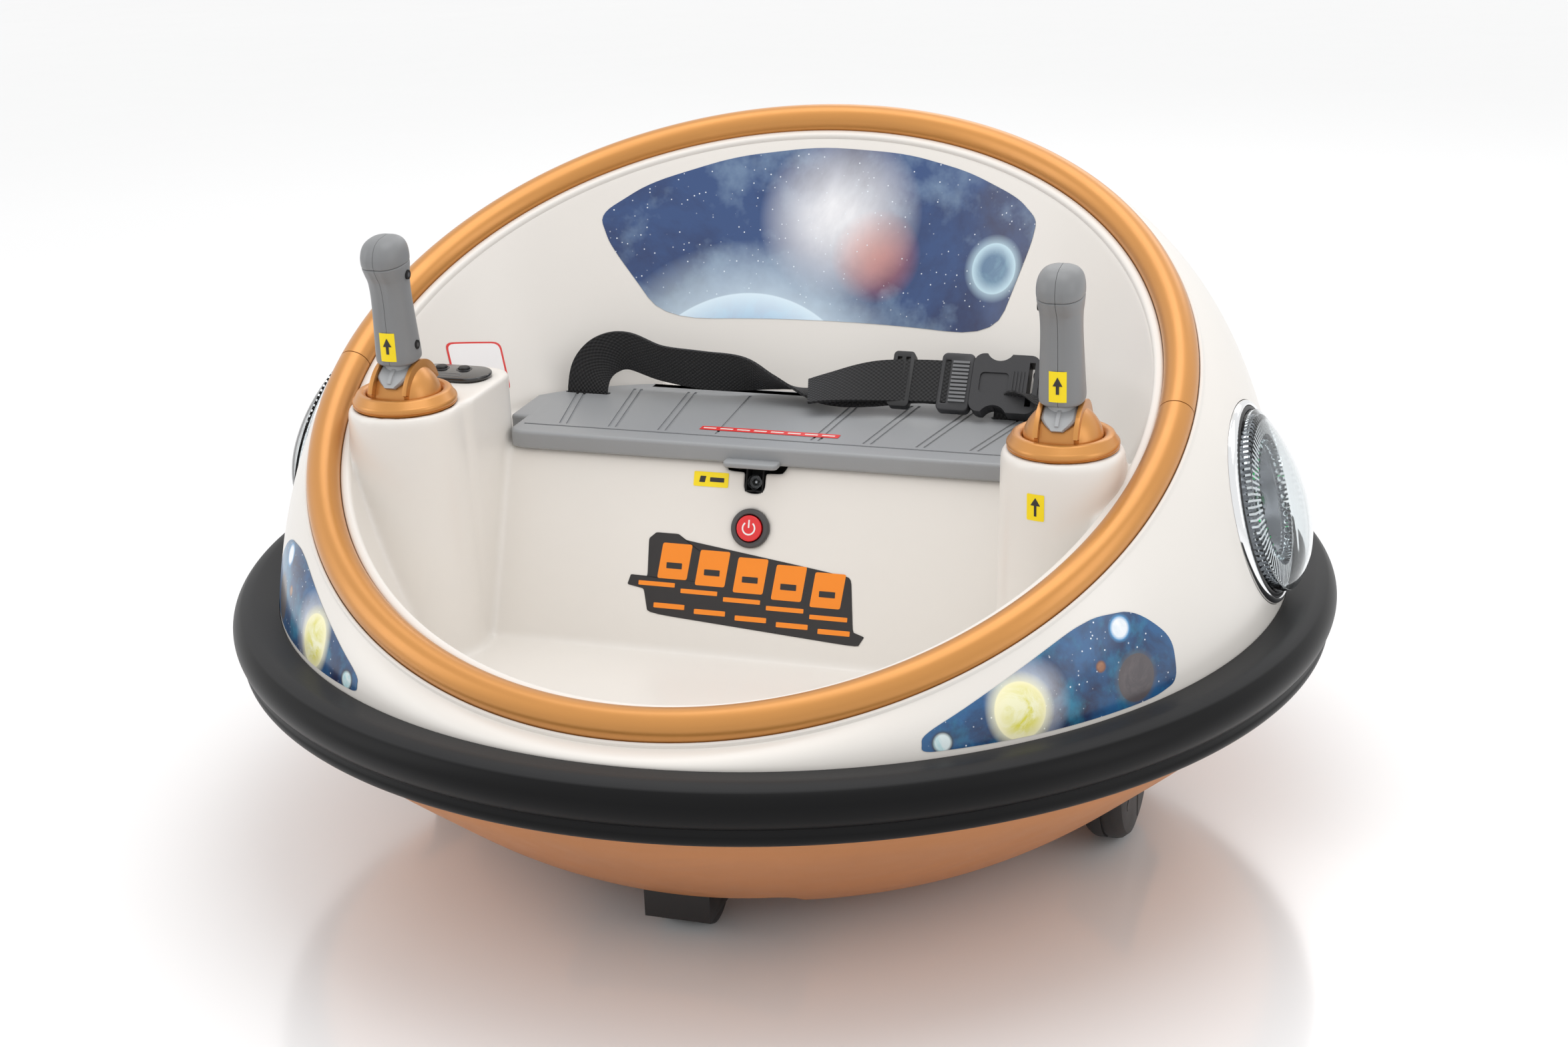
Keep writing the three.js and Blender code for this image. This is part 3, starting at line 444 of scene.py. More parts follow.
BOARD = plastic("board_green", (0.012, 0.12, 0.04), 0.4).mat
CELL = plastic("battery_grey", (0.09, 0.095, 0.11), 0.5).mat
LENS = plastic("clear_lens", (0.86, 0.89, 0.9), 0.03, depth=0.002, drift=0.005,
               Transmission_Weight=1.0, IOR=1.18).mat
# Green emission: painted green glints for the headlight's lens.
glow = plastic("painted_green_glint", (0.02, 0.42, 0.1), 0.2)
glow.out.inputs["Emission Color"].default_value = (0.03, 0.9, 0.2, 1)
glow.out.inputs["Emission Strength"].default_value = 0.6
GREEN_GLINT = glow.mat


def woven():
    """Plain-woven webbing: u runs along the strap in millimetres, v across it."""
    s = Shader("webbing_black", (0.006, 0.006, 0.007), 0.7, Sheen_Weight=0.06, Sheen_Roughness=0.4)
    n = s.nodes.new("ShaderNodeUVMap")
    n.uv_map = "strap"
    u, v = s.axis(0, n.outputs[0]), s.axis(1, n.outputs[0])
    over = s.math("SINE", s.math("MULTIPLY", u, 2 * math.pi * 100 / 3.4))
    under = s.math("SINE", s.math("MULTIPLY", v, 2 * math.pi * 100 / 2.9))
    weave = s.math("MULTIPLY", over, under)
    s.put(s.out.inputs["Base Color"],
          s.mix(s.fit(weave, -1, 1), (0.003, 0.003, 0.0035), (0.018, 0.018, 0.02)))
    s.bump(s.fit(weave, -1, 1), 0.7)
    return s.bump(s.noise(1800, 2), 0.1).mat


WEB = woven()


def space(name, deep, mid, pale, glow_at, glow_size, discs, spread=9.0, warm=None):
    """A printed night sky: clouds of colour, stars, a glow and plain round planets."""
    s = Shader(name, deep, 0.28, Coat_Weight=0.3, Coat_Roughness=0.12)
    cloud = s.noise(spread, 6, rough=0.62, distortion=0.4)
    sky = s.mix(s.fit(cloud, 0.36, 0.56), deep, mid)
    sky = s.mix(s.fit(s.noise(spread * 1.7, 5, rough=0.6), 0.5, 0.78), sky, pale)
    light = s.fit(s.from_point(glow_at), glow_size, glow_size * 0.12)
    light = s.math("MULTIPLY", light, s.fit(cloud, 0.2, 0.6, 0.45, 1.15))
    sky = s.mix(light, sky, (0.93, 0.93, 0.95))
    if warm:
        ember = s.math("MULTIPLY", s.fit(s.from_point(warm), 40, 4), s.fit(cloud, 0.3, 0.6, 0.4, 1.0))
        sky = s.mix(ember, sky, (0.85, 0.20, 0.06))
    stars = s.cells(260)
    lit = s.math("MULTIPLY", s.fit(stars["Distance"], 0.17, 0.08),
                 s.fit(s.axis(0, stars["Color"]), 0.55, 0.75))
    sky = s.mix(lit, sky, (0.85, 0.9, 0.97))
    for centre, radius, rim, body, other in discs:
        away = s.from_point(centre)
        face = s.mix(s.fit(s.noise(55, 5, rough=0.65, distortion=0.8), 0.42, 0.6), body, other)
        face = s.mix(s.fit(away, radius * 0.72, radius), face, rim)
        halo = s.math("MULTIPLY", s.fit(away, radius * 1.25, radius), 0.6)
        sky = s.mix(halo, sky, rim)
        sky = s.mix(s.fit(away, radius + 0.3, radius - 0.3), sky, face)
    s.put(s.out.inputs["Base Color"], sky)
    s.bump(s.noise(14, 1), 0.3)
    return s.mat


# ---------------------------------------------------------------- bodywork
AROUND = np.linspace(0, 2 * math.pi, 289)[:-1]


def light_frame(side):
    """The headlight's own frame: x across, y up along the skirt, z out of the skirt."""
    angle = side * math.acos(4 / 344)
    ts = np.linspace(0, 1, 4001)
    heights = np.array([skirt_point(angle, t)[2] for t in ts])
    t = ts[int(np.searchsorted(heights, 241))]
    at = Vector(skirt_point(angle, t))
    up = Vector(skirt_point(angle, t + 0.05)) - at
    along = Vector(skirt_point(angle + 0.02, t)) - at
    normal = along.cross(up).normalized()
    tall = Matrix.Rotation(side * -math.radians(13), 3, normal) @ up.normalized()
    if normal.x * side < 0:
        normal.negate()
    return matrix(at, tall.cross(normal).normalized(), tall, normal)


def oval(inset, height, count=96, ripple=0.0, ribs=0):
    """A loop of the headlight, bent to the skirt's curve."""
    a = np.arange(count) * 2 * math.pi / count
    u = (66 - inset) * np.sin(a)
    v = (66 - inset) * np.cos(a)
    lift = height + ripple * np.cos(a * ribs)
    return np.stack([u, v, lift - u * u / 680 - v * v / 760], 1)


def outer_shell():
    a = AROUND
    loops = [base_point(a, 344, 150)]
    loops += [skirt_point(a, t) for t in np.linspace(0, 0.985, 34)]
    loops += [ring_point(a, r, h) for r, h in (
        (295, -2.9), (294.8, -1.9), (294.3, -1.0), (293.6, -0.65), (292.8, -0.6), (292.4, -0.9),
        (292.3, -1.6),
        (292.3, -9), (281.4, -9), (281.4, -12))]
    loops += [skirt_point(a, t, 3) for t in np.linspace(1, 0, 12)]
    loops += [base_point(a, 341, 150)]
    shell = make("outer_shell_skin", *loft(loops, around=True), WHITE, stands_for=["outer_shell"],
                 slot="white_shell")
    for side in (1, -1):
        combine(shell, tool(loft([oval(-0.4, -22), oval(-0.4, 22)]), light_frame(side)))
    soften(shell, 25)
    return shell


def inner_tub():
    a = AROUND
    wall = []
    for r, grow, h in ((0, -12, 133), (1, -8.5, 133.6), (2, -4.5, 135.4), (3, -1.8, 138.4)):
        wall.append(tub_foot(a, grow, h))
    foot, rim = tub_foot(a, -1, 140), ring_point(a, 264, -3)
    wall += [foot + (rim - foot) * t for t in np.linspace(0, 1, 30)]
    wall += [ring_point(a, 269, -3), ring_point(a, 269, -11)]
    foot, rim = tub_foot(a, 2.4, 138), ring_point(a, 267.4, -11)
    wall += [foot + (rim - foot) * t for t in np.linspace(1, 0, 12)]
    wall += [tub_foot(a, -10, 129.6)]
    tub = make("inner_tub_skin", *loft(wall), WHITE, stands_for=["inner_tub"], slot="white_shell")
    space_in = [tub_foot(a, -9, 131), tub_foot(a, 0.6, 139), ring_point(a, 265.5, -8)]
    profile = [(-98, 131), (-51.5, 251.5), (-49.6, 254), (-46.5, 255), (120, 255), (120, 251.6),
               (-46, 251.6), (-48.2, 249.5), (-94, 131)]
    slab, faces = prism(profile, -260, 260)
    slab = np.array(slab)[:, [2, 0, 1]]
    bench = tool((slab, faces))
    combine(bench, tool(box((-158, -40, 200), (158, 62, 300))))
    for x in (-106, 106):
        combine(bench, tool(box((x - 6, 67.5, 252), (x + 6, 100, 266))), "UNION")
    combine(bench, tool(loft(space_in)), "INTERSECT")
    combine(tub, bench, "UNION")
    block = tool(prism(rounded(60, 94, 20, 8, (-210, -71)), 131.5, 303.5))
    combine(tub, block, "UNION")
    for x in (-220.4, 220.4):
        post = turned([(0, 131.5), (44.5, 131.5), (42.4, 138), (38, 298), (37.4, 301), (36.2, 302.9),
                       (34, 303.5), (0, 303.5)], 72)
        combine(tub, tool(shifted(post, (x, -115.8, 0))), "UNION")
    combine(tub, tool(prism(rounded(53, 87, 17, 8, (-210, -71)), 136, 300)))
    for x in (-220.4, 220.4):
        hollow = turned([(0, 122), (39, 122), (34.6, 299.6), (31.7, 300), (31.7, 310), (0, 310)], 72)
        combine(tub, tool(shifted(hollow, (x, -115.8, 0))))
    # room for the two buttons under the control panel
    combine(tub, tool(prism(rounded(52, 25, 11, 8, (-218, -52)), 290, 310)))
    combine(tub, tool(box((-6.6, -8, 111), (6.6, 12, 130)), RISER))
    combine(tub, tool(box((-20, -8, 125.5), (20, 9, 140)), RISER))
    combine(tub, tool(rod("y", 11.3, -10, 12, (0, 87)), RISER))
    modify(tub, "REMESH", mode="VOXEL", voxel_size=0.0018)
    modify(tub, "SMOOTH", factor=0.5, iterations=14)
    bake(tub)
    soften(tub, 80)
    return tub


outer_shell()
tub = inner_tub()
TUB_TREE = BVHTree.FromObject(tub, bpy.context.evaluated_depsgraph_get())

lip = [(263.2, -7), (263.4, -3.4), (263.9, -1.9), (264.8, -0.95), (265.8, -0.7), (267.6, -0.65),
       (269.2, -0.7), (269.7, -1.3), (269.7, -8.8), (280.7, -8.8), (280.7, -12), (267, -12), (266.2, -7)]
make("tub_rim_lip", *loft(np.array([ring_point(AROUND, r, h) for r, h in lip]), around=True), WHITE,
     slot="white_shell", sharp=50)

RING_SECTION = (arc(0, 0, TUBE, -48, 228, 40) + arc(0, 0, TUBE - 2.6, 222, -42, 16))
for name, middle in (("ring_front", 0.0), ("ring_rear", math.pi)):
    half = math.pi / 2 - 0.35 / RING_R
    steps = np.linspace(middle - half, middle + half, 145)
    loops = [[ring_point(s, RING_R + u, w) for u, w in RING_SECTION] for s in steps]
    make(name + "_tube", *loft(loops), BRONZE, stands_for=[name], slot="bronze_trim")

# near-black slits beside the ring where the clips sit: painted shade of the openings there
for k, (degrees, radius) in enumerate(((38, 292.9), (100, 292.9), (-38, 292.9), (-100, 292.9),
                                       (22, 269.0), (-22, 269.0), (160, 292.9), (-160, 292.9))):
    at = math.radians(degrees)
    ends = [[ring_point(at + s, radius + r, h) for r, h in ((-0.7, -1), (0.15, -1), (0.15, -4), (-0.7, -4))]
            for s in np.linspace(-0.011, 0.011, 5)]
    make(f"ring_clip_slit_shade_{k + 1}", *loft(ends), HOLLOW_SHADE)

bumper = ([(344.5, 172.0), (350, 172.8), (358, 174.0), (361.5, 174.55)] + arc(361.5, 160, 14.6, 84, -50, 34)
          + [(370.9, 148.1), (371.1, 147.2)]
          + arc(366.3, 142.3, 5.2, 30, -88, 14) + [(364, 137.1), (352, 137.1), (344.5, 138)])
make("bumper_band", *turned(bumper, 288), RUBBER, stands_for=["bumper_ring"],
     slot="bumper_rubber", sharp=40)


def pan_line():
    line = spline([(222, 26), (232, 28.5), (262, 49), (300, 81), (330, 107.5), (341.5, 122)], 40)
    return [(0, 26), (150, 26), (214, 26)] + [tuple(p) for p in line] + [(343.6, 127), (343.6, 149.6)]


def bottom_pan():
    outer = pan_line()
    inner = [(max(0, r - (2.2 if z > 26.5 else 0)), z + (0 if z > 148 else 2.6)) for r, z in outer]
    inner[-1] = (340.8, 149.6)
    inner[-2] = (340.8, 128)
    pan_obj = make("bottom_pan_skin", *turned(outer + inner[::-1], 240), PAN,
                   stands_for=["bottom_pan"], slot="bronze_pan", sharp=50)
    for side in (-1, 1):
        walls = prism(rounded(166, 100, 16, 6, (0, side * 196)), 26.5, 73)
        skin = [(max(0, r - 0.4), z + 0.2) for r, z in outer]
        inside = tool(turned([(0, 25.5)] + skin + [(0, 149.6)], 120))
        block = tool(walls)
        combine(block, inside, "INTERSECT")
        combine(pan_obj, block, "UNION")
        combine(pan_obj, tool(prism(rounded(160, 94, 14, 6, (0, side * 196)), 0, 70)))
        combine(pan_obj, tool(prism(rounded(44, 134, 8, 5, (side * 239, -20)), 0, 126)))
    soften(pan_obj, 40)
    return pan_obj


bottom_pan()


# ---------------------------------------------------------------- seat
def wall_x(height):
    """The tub wall's outline at a height, by angle."""
    a = np.linspace(0, 2 * math.pi, 721)
    foot, rim = tub_foot(a, 0, 133), ring_point(a, 264, -3)
    t = ((height - 133) / (rim[:, 2] - 133))[:, None]
    return a, foot + t * (rim - foot)


def seat_lid():
    a, line = wall_x(255.3)
    rear = []
    for degrees in range(110, 251, 4):
        x, y, _ = line[int(round(degrees * 2))]
        x = math.copysign(min(abs(x) - 4, 190), x)
        if y > 0:
            rear.append((x, min(y - 5, 73)))
    outline = [(-178, -20), (-178, -46), (-174.5, -52.5), (-167, -55), (176, -55), (185, -51.5), (190, -43)]
    outline += rear + [(-190, -20)]
    lid = make("seat_lid_board", *prism(outline, 255.3, 267.9), SEAT, "seat_lid", ["seat_lid"], "seat_grey")
    for x in (-106, 106):
        combine(lid, tool(box((x - 6.8, 65, 240), (x + 6.8, 120, 290))))
    modify(lid, "BEVEL", width=0.0052, segments=6, limit_method="ANGLE", angle_limit=math.radians(60),
           use_clamp_overlap=True)
    bake(lid)
    for x in (-156, 156):
        combine(lid, tool(prism(rounded(34, 5.4, 2.6, 5, (x, 40)), 240, 290)))
    line_front = box((-172, -38.6, 266.9), (172, -36.4, 280))
    combine(lid, tool(line_front))
    for k in range(-4, 5):
        if k == 0:
            continue
        for off in (-2.6, 2.6):
            x, lean = k * 38 + off, k * 3.2
            groove = tool(box((-1.0, -33, 267.0), (1.0, 56, 280)),
                          Matrix.Translation((x, 0, 0)) @ Matrix.Rotation(math.radians(-lean), 4, "Z"))
            combine(lid, groove)
    soften(lid, 28)
    tab = make("seat_pull_tab", *prism(rounded(38, 16, 4, 6, (0, -56.5)), 255.5, 259.2), SEAT, "seat_lid",
               slot="seat_grey")
    bevel(tab, 1.2, 3)
    return lid


seat_lid()


# ---------------------------------------------------------------- belt
def strap(name, stations, tread=1.8, width=30.0, stands_for=(), count=220, body="seat_lid"):
    """Webbing through (x, y, z, across x, across y, across z) stations; returns the piece."""
    s = spline(stations, count)
    mid, across = s[:, :3], s[:, 3:]
    tangent = np.gradient(mid, axis=0)
    tangent /= np.linalg.norm(tangent, axis=1)[:, None]
    across -= (across * tangent).sum(1)[:, None] * tangent
    across /= np.linalg.norm(across, axis=1)[:, None]
    face = np.cross(tangent, across)
    run = np.concatenate([[0], np.cumsum(np.linalg.norm(np.diff(mid, axis=0), axis=1))])
    cols = np.linspace(-1, 1, 9)
    ring = [(c, 1) for c in cols] + [(c, -1) for c in cols[::-1]]
    loops = np.array([mid + across * (u * width / 2) + face * (v * tread / 2) for u, v in ring])
    loops = loops.transpose(1, 0, 2)
    pts, faces = loft(loops)
    data_uv = [(run[i], ring[j][0] * width / 2) for i in range(len(mid)) for j in range(len(ring))]
    obj = make(name, pts, faces, WEB, body, stands_for, "webbing", sharp=60)
    layer = obj.data.uv_layers.new(name="strap")
    table = {tuple(np.round(np.asarray(p) * 0.001, 6)): uv for p, uv in zip(pts, data_uv)}
    for loop in obj.data.loops:
        key = tuple(np.round(np.array(obj.data.vertices[loop.vertex_index].co), 6))
        uv = table.get(key)
        if uv is None:
            uv = min(table.items(), key=lambda kv: sum((p - q) ** 2 for p, q in zip(kv[0], key)))[1]
        layer.data[loop.index].uv = (uv[0] / 100, uv[1] / 100)
    return obj


TIP = math.radians(52)
LIE = (0, math.cos(TIP), math.sin(TIP))
long_line = [
    (-156, 40, 259, 1, 0, 0), (-156, 40, 271, 1, 0, 0), (-152.4, 42, 285, 0.87, 0.05, -0.5),
    (-142.5, 45, 295, 0.5, 0.15, -0.87), (-127, 48, 298, 0.05, 0.25, -1), (-102, 49, 290, 0, 0.3, -0.95),
    (-70, 48, 287, 0, 0.22, -1), (-42, 49, 286, 0, 0.38, -0.93),
    (-18, 50, 281, 0, 0.82, -0.6), (8, 50, 275.5, 0, 1, -0.12), (32, 47, 279, 0, 0.86, 0.5),
    (58, 44, 284.5, 0, 0.6, 0.8), (82, 43, 288.4, *LIE), (100, 44, 289.2, *LIE), (116, 44, 289.2, *LIE)]
strap("belt_webbing_main", long_line, stands_for=["belt_webbing_long"])
strap("belt_webbing_stub", [
    (156, 40, 259, 1, 0, 0), (156.5, 40, 272, 1, 0, 0), (167, 38.5, 286, 0.8, 0.3, 0.5),
    (179, 40, 291.5, 0.3, 0.6, 0.75), (187, 43.4, 290.2, *LIE)],
    stands_for=["belt_webbing_short"], count=60)
# the adjusting tail doubles back from the buckle, through the slider, and folds
strap("belt_webbing_tail", [
    (114, 42.2, 290.6, *LIE), (98, 41.6, 291, *LIE), (80, 40.6, 290.6, *LIE), (62, 38.5, 290, 0, 0.66, 0.75),
    (44, 36, 288, -0.05, 0.8, 0.6), (26, 34, 284.5, -0.25, 0.9, 0.38), (12, 31, 281.5, -0.5, 0.85, 0.2)],
    count=110)

BUCKLE = Matrix.Translation((128, 44, 289.2)) @ Matrix.Rotation(TIP, 4, "X")


def buckle():
    slider = make("belt_slider", *prism(rounded(15, 40, 3, 6, (-52, 0)), -2.6, 4.6), BLACK, "seat_lid",
                  slot="charcoal_plastic", place=BUCKLE)
    for x in (-55, -49):
        combine(slider, tool(box((x - 1.6, -16, -9), (x + 1.6, 16, 9)), BUCKLE))
    bevel(slider, 1.0, 2)
    male = make("buckle_male_body", *prism(rounded(23, 42, 4, 6, (-14, 0)), -4, 4.4), CHARCOAL, "seat_lid",
                ["buckle_male"], "charcoal_plastic", place=BUCKLE)
    combine(male, tool(box((-22.6, -15.6, -9), (-18.8, 15.6, 9)), BUCKLE))
    bevel(male, 1.2, 3)
    bars = [box((-17, -14 + k * 2.8 - 0.8, 4.0), (-5.5, -14 + k * 2.8 + 0.8, 5.6)) for k in range(11)]
    make("buckle_ladder", *joined(*bars), LADDER, "seat_lid", place=BUCKLE)
    prongs = [box((-4, y - 4, -2), (14, y + 4, 2)) for y in (-13, 13)]
    make("buckle_prongs", *joined(*prongs), CHARCOAL, "seat_lid", place=BUCKLE)
    body = make("buckle_female_body", *prism(rounded(46, 42, 7, 8, (20.5, 0)), -6, 6.4), CHARCOAL, "seat_lid",
                ["buckle_female"], "charcoal_plastic", place=BUCKLE)
    for side in (1, -1):
        combine(body, tool(rod("z", 10, -12, 12, (15, side * 26), 48), BUCKLE))
    combine(body, tool(box((36, -15.8, -9), (40, 15.8, 9)), BUCKLE))
    combine(body, tool(prism(rounded(20, 15, 3, 5, (13, 0)), 5.2, 9), BUCKLE))
    bevel(body, 1.5, 4)
    ribs = [box((25 + 2.4 * k, -9, 6.2), (26.2 + 2.4 * k, 9, 7.1)) for k in range(4)]
    make("buckle_ribs", *joined(*ribs), CHARCOAL, "seat_lid", place=BUCKLE)


buckle()


# ---------------------------------------------------------------- joysticks
GRIP_ROWS = [  # height, half width, reach to the front, reach to the back
    (26, 10.4, 11, 11), (27.2, 12.9, 13.8, 13.4), (30, 13.9, 15, 14.4), (42, 13.5, 14.2, 13.8),
    (58, 12.9, 12.8, 12.8), (72, 12.5, 12.2, 12.2), (82, 12.7, 13.4, 12.6), (88, 13.4, 16.4, 13.6),
    (93.4, 13.9, 19.0, 14.2), (94.1, 12.9, 17.6, 13.2), (94.8, 14.0, 19.2, 14.4), (100, 14.1, 19.4, 14.6),
    (105, 13.2, 17.2, 13.8), (108.4, 11.2, 14, 11.8), (110.4, 8, 9.6, 8.6), (111.2, 4, 5, 4.6)]


def grip_half(name, side, body, stands_for, frame_at):
    rows = spline(GRIP_ROWS, 90)
    steps = np.linspace(0, math.pi, 40)
    loops = []
    for height, half, front, back in rows:
        c, s = np.cos(steps), np.sin(steps)
        depth = np.where(c > 0, front, back)
        x = 0.12 + half * np.sign(s) * np.abs(s) ** 0.85
        # the seam between the halves is a shallow valley
        x = np.where(s < 0.04, 0.12, x)
        shrink = np.where(np.abs(c) > 0.985, 0.975, 1.0)
        y = -depth * shrink * np.sign(c) * np.abs(c) ** 0.8
        loops.append(np.stack([side * x, y, np.full(40, height)], 1))
    return make(name, *loft(loops), GRIP, body, stands_for, "grip_grey", sharp=50, place=frame_at)


def joystick(side, name):
    at = (side * 220.4, -115.8, 303.8)
    base = Matrix.Translation(at)
    pivot = Matrix.Translation((at[0], at[1], at[2] + 3))
    moving = pivot @ Matrix.Rotation(math.radians(5), 4, "X")
    collar = ([(25.2, -8), (31.4, -8), (31.4, 0.05), (34.2, 0.1)] + arc(31.8, 2.6, 2.7, -50, 60, 8)
              + arc(28.6, 5.4, 4.0, 50, 170, 12) + [(24.9, 3)])
    make(f"{name}_collar_ring", *turned(collar, 96), BRONZE, stands_for=[f"{name}_collar"],
         slot="bronze_trim", sharp=45, place=base)
    # two bronze cheeks with domed outsides and a slot for the stem between them
    for part, s in (("inner", -side), ("outer", side)):
        ball = turned([(0, -25)] + arc(0, 0, 25, -78, 78, 36) + [(0, 25)], 72)
        cheek = tool(ball)
        combine(cheek, tool(box((s * 25 - 14.2, -40, -5), (s * 25 + 14.2, 40, 40))), "INTERSECT")
        disc = tool(rod("x", 26.4, min(s * 10.8, s * 13.6), max(s * 10.8, s * 13.6), (0, 0), 72))
        combine(disc, tool(box((-40, -40, -5), (40, 40, 40))), "INTERSECT")
        combine(cheek, disc, "UNION")
        combine(cheek, tool(turned([(24.4, -9), (60, -9), (60, 9), (26.6, 9), (24.4, 7.5)], 72)))
        dress(cheek, f"{name}_cheek_{part}", BRONZE, place=pivot,
              stands_for=[f"{name}_dome"] if s == side else ())
        bevel(cheek, 0.9, 3)
    band = tool(rod("x", 21.4, -10.7, 10.7, (0, 0), 72))
    combine(band, tool(box((-40, -40, -5), (40, 40, 40))), "INTERSECT")
    combine(band, tool(box((-5.2, -13, -10), (5.2, 13, 40))))
    dress(band, f"{name}_band", BRONZE, place=pivot)
    # light grey tongue with a rib, sweeping over the band, and the neck of the grip
    angles = np.radians(np.linspace(36, 144, 34))
    tongue = []
    for a in angles:
        wide = math.sqrt(max(0.12, min(1.0, (math.degrees(a) - 35) / 20)))
        tongue.append([(x * wide, -r * math.cos(a), r * math.sin(a)) for x, r in
                       ((-10.5, 22), (10.5, 22), (10.5, 23.6), (9, 24.8), (-9, 24.8), (-10.5, 23.6))])
    make(f"{name}_tongue", *loft(tongue), STEM, name, slot="seat_grey", place=moving)
    rib = [[(x, -r * math.cos(a), r * math.sin(a)) for x, r in ((-1.5, 24), (1.5, 24), (1.1, 26), (-1.1, 26))]
           for a in np.radians(np.linspace(42, 74, 14))]
    make(f"{name}_tongue_rib", *loft(rib), STEM, name, slot="seat_grey", place=moving)
    neck = [(0, 20), (10.2, 20), (10.1, 24), (9.6, 27.5), (0, 27.5)]
    make(f"{name}_neck", *turned(neck, 48), STEM, name, [f"{name}_stem"], "seat_grey", place=moving)
    grip_half(f"{name}_grip_a", 1, name, [f"{name}_grip_left"], moving)
    grip_half(f"{name}_grip_b", -1, name, [f"{name}_grip_right"], moving)
    for k, height in enumerate((38, 86)):
        s = -side
        # The near-black disc under each screw is painted shade in the screw hole.
        for layer, radius, mat in (("hole", 3.1, HOLLOW_SHADE), ("screw", 1.5, BEZEL)):
            x0, x1 = (12.6, 14.3) if layer == "hole" else (12.8, 14.45)
            lo, hi = sorted((s * x0, s * x1))
            shape = rod("x", radius, lo, hi, (0.5, height), 28)
            make(f"{name}_{layer}_{k + 1}", *shape, mat, name, place=moving)
    front = [[(x, grip_front(x, z) - 0.25, z) for x in np.linspace(-5.4, 5.4, 11)]
             for z in np.linspace(31, 50, 12)]
    thin(f"{name}_sticker", front, YELLOW, name, moving)
    arrow = [[(x * w, grip_front(x * w, z) - 0.5, z) for x in np.linspace(-1, 1, 7)]
             for z, w in ((36, 1.0), (41, 1.0), (41.01, 3.0), (46.5, 0.1))]
    thin(f"{name}_sticker_mark", arrow, INK, name, moving)


def grip_front(x, z):
    rows = np.array(GRIP_ROWS)
    half, front = np.interp(z, rows[:, 0], rows[:, 1]), np.interp(z, rows[:, 0], rows[:, 2])
    s = min(1.0, (abs(x) / half)) ** (1 / 0.85)
    c = math.sqrt(max(0.0, 1 - s * s))
    return -front * c ** 0.8


def thin(name, grid, mat, body=BODY, place=None, thick=0.12, toward=(0, 1, 0)):
    """A thin printed film over a grid of points; toward points into the surface below."""
    g = np.asarray(grid, float)
    n, m = g.shape[:2]
    under = g + np.asarray(toward, float) * thick
    pts = np.concatenate([g.reshape(-1, 3), under.reshape(-1, 3)])
    faces = []
    for base in (0, n * m):
        faces += [(base + i * m + j, base + i * m + j + 1, base + (i + 1) * m + j + 1, base + (i + 1) * m + j)
                  for i in range(n - 1) for j in range(m - 1)]
    edge = ([(0, j) for j in range(m)] + [(i, m - 1) for i in range(1, n)]
            + [(n - 1, j) for j in range(m - 2, -1, -1)] + [(i, 0) for i in range(n - 2, 0, -1)])
    ids = [i * m + j for i, j in edge]
    faces += [(a, b, b + n * m, a + n * m) for a, b in zip(ids, ids[1:] + ids[:1])]
    return make(name, pts, faces, mat, body, sharp=40, place=place)


joystick(1, "joystick_left")
joystick(-1, "joystick_right")


# ---------------------------------------------------------------- controls
panel = make("control_panel_plate", *prism(rounded(60, 32, 15.9, 14, (-218, -52)), 303.8, 306.8), GLOSS,
             stands_for=["control_panel"], slot="black_plastic")
bevel(panel, 1.1, 4)
for name, x in (("outer", -227), ("inner", -210)):
    cap = [(0, -3)] + [(4.0, -3), (4.0, 3.4)] + arc(2.9, 3.9, 1.1, 0, 80, 5) + [(0, 5.4)]
    make(f"panel_button_{name}_cap", *shifted(turned(cap, 40), (x, -46, 303.8)), BLACK,
         f"panel_button_{name}", [f"panel_button_{name}"], "black_plastic")
    make(f"panel_button_{name}_ring", *shifted(turned([(4.5, 2.9), (5.5, 2.9), (5.5, 3.2), (4.5, 3.3)], 40),
                                               (x, -46, 303.8)), BEZEL)
strip = tool(prism(rounded(24, 6, 2.9, 8, (-218, -60)), 306.7, 306.95))
combine(strip, tool(prism(rounded(22.8, 4.8, 2.3, 8, (-218, -60)), 300, 310)))
dress(strip, "panel_strip", LADDER)

FACE = RISER @ Matrix.Translation((0, 0, 87)) @ Matrix.Rotation(math.pi / 2, 4, "X")
bezel = [(9.2, -9), (11, -9), (11, 0.35), (13.2, 0.35), (13.2, 1.4)] + arc(11.4, 1.9, 1.8, -10, 110, 10) + [
    (10.2, 3.9), (9.5, 3.4)]
make("power_bezel_ring", *turned(bezel, 96), BEZEL, stands_for=["power_bezel"], slot="charcoal_plastic",
     place=FACE, sharp=45)
button = [(0, -8.6), (8.8, -8.6), (8.8, 3.4)] + arc(7.8, 3.6, 1.0, 0, 80, 6)
button += [(6.4, 4.62), (3, 4.75), (0, 4.8)]
make("power_button_cap", *turned(button, 96), RED, "power_button", ["power_button"], "red_plastic",
     place=FACE)
mark = [[(r * math.sin(a), r * math.cos(a), 4.86 if r < 4.6 else 4.83) for r in (3.7, 4.7)]
        for a in np.radians(np.linspace(38, 322, 60))]
thin("power_button_mark", mark, MARK, "power_button", FACE, 0.25, (0, 0, -1))
bar = [[(x, y, 4.88) for x in (-0.5, 0.5)] for y in (0.3, 5.6)]
thin("power_button_bar", bar, MARK, "power_button", FACE, 0.3, (0, 0, -1))
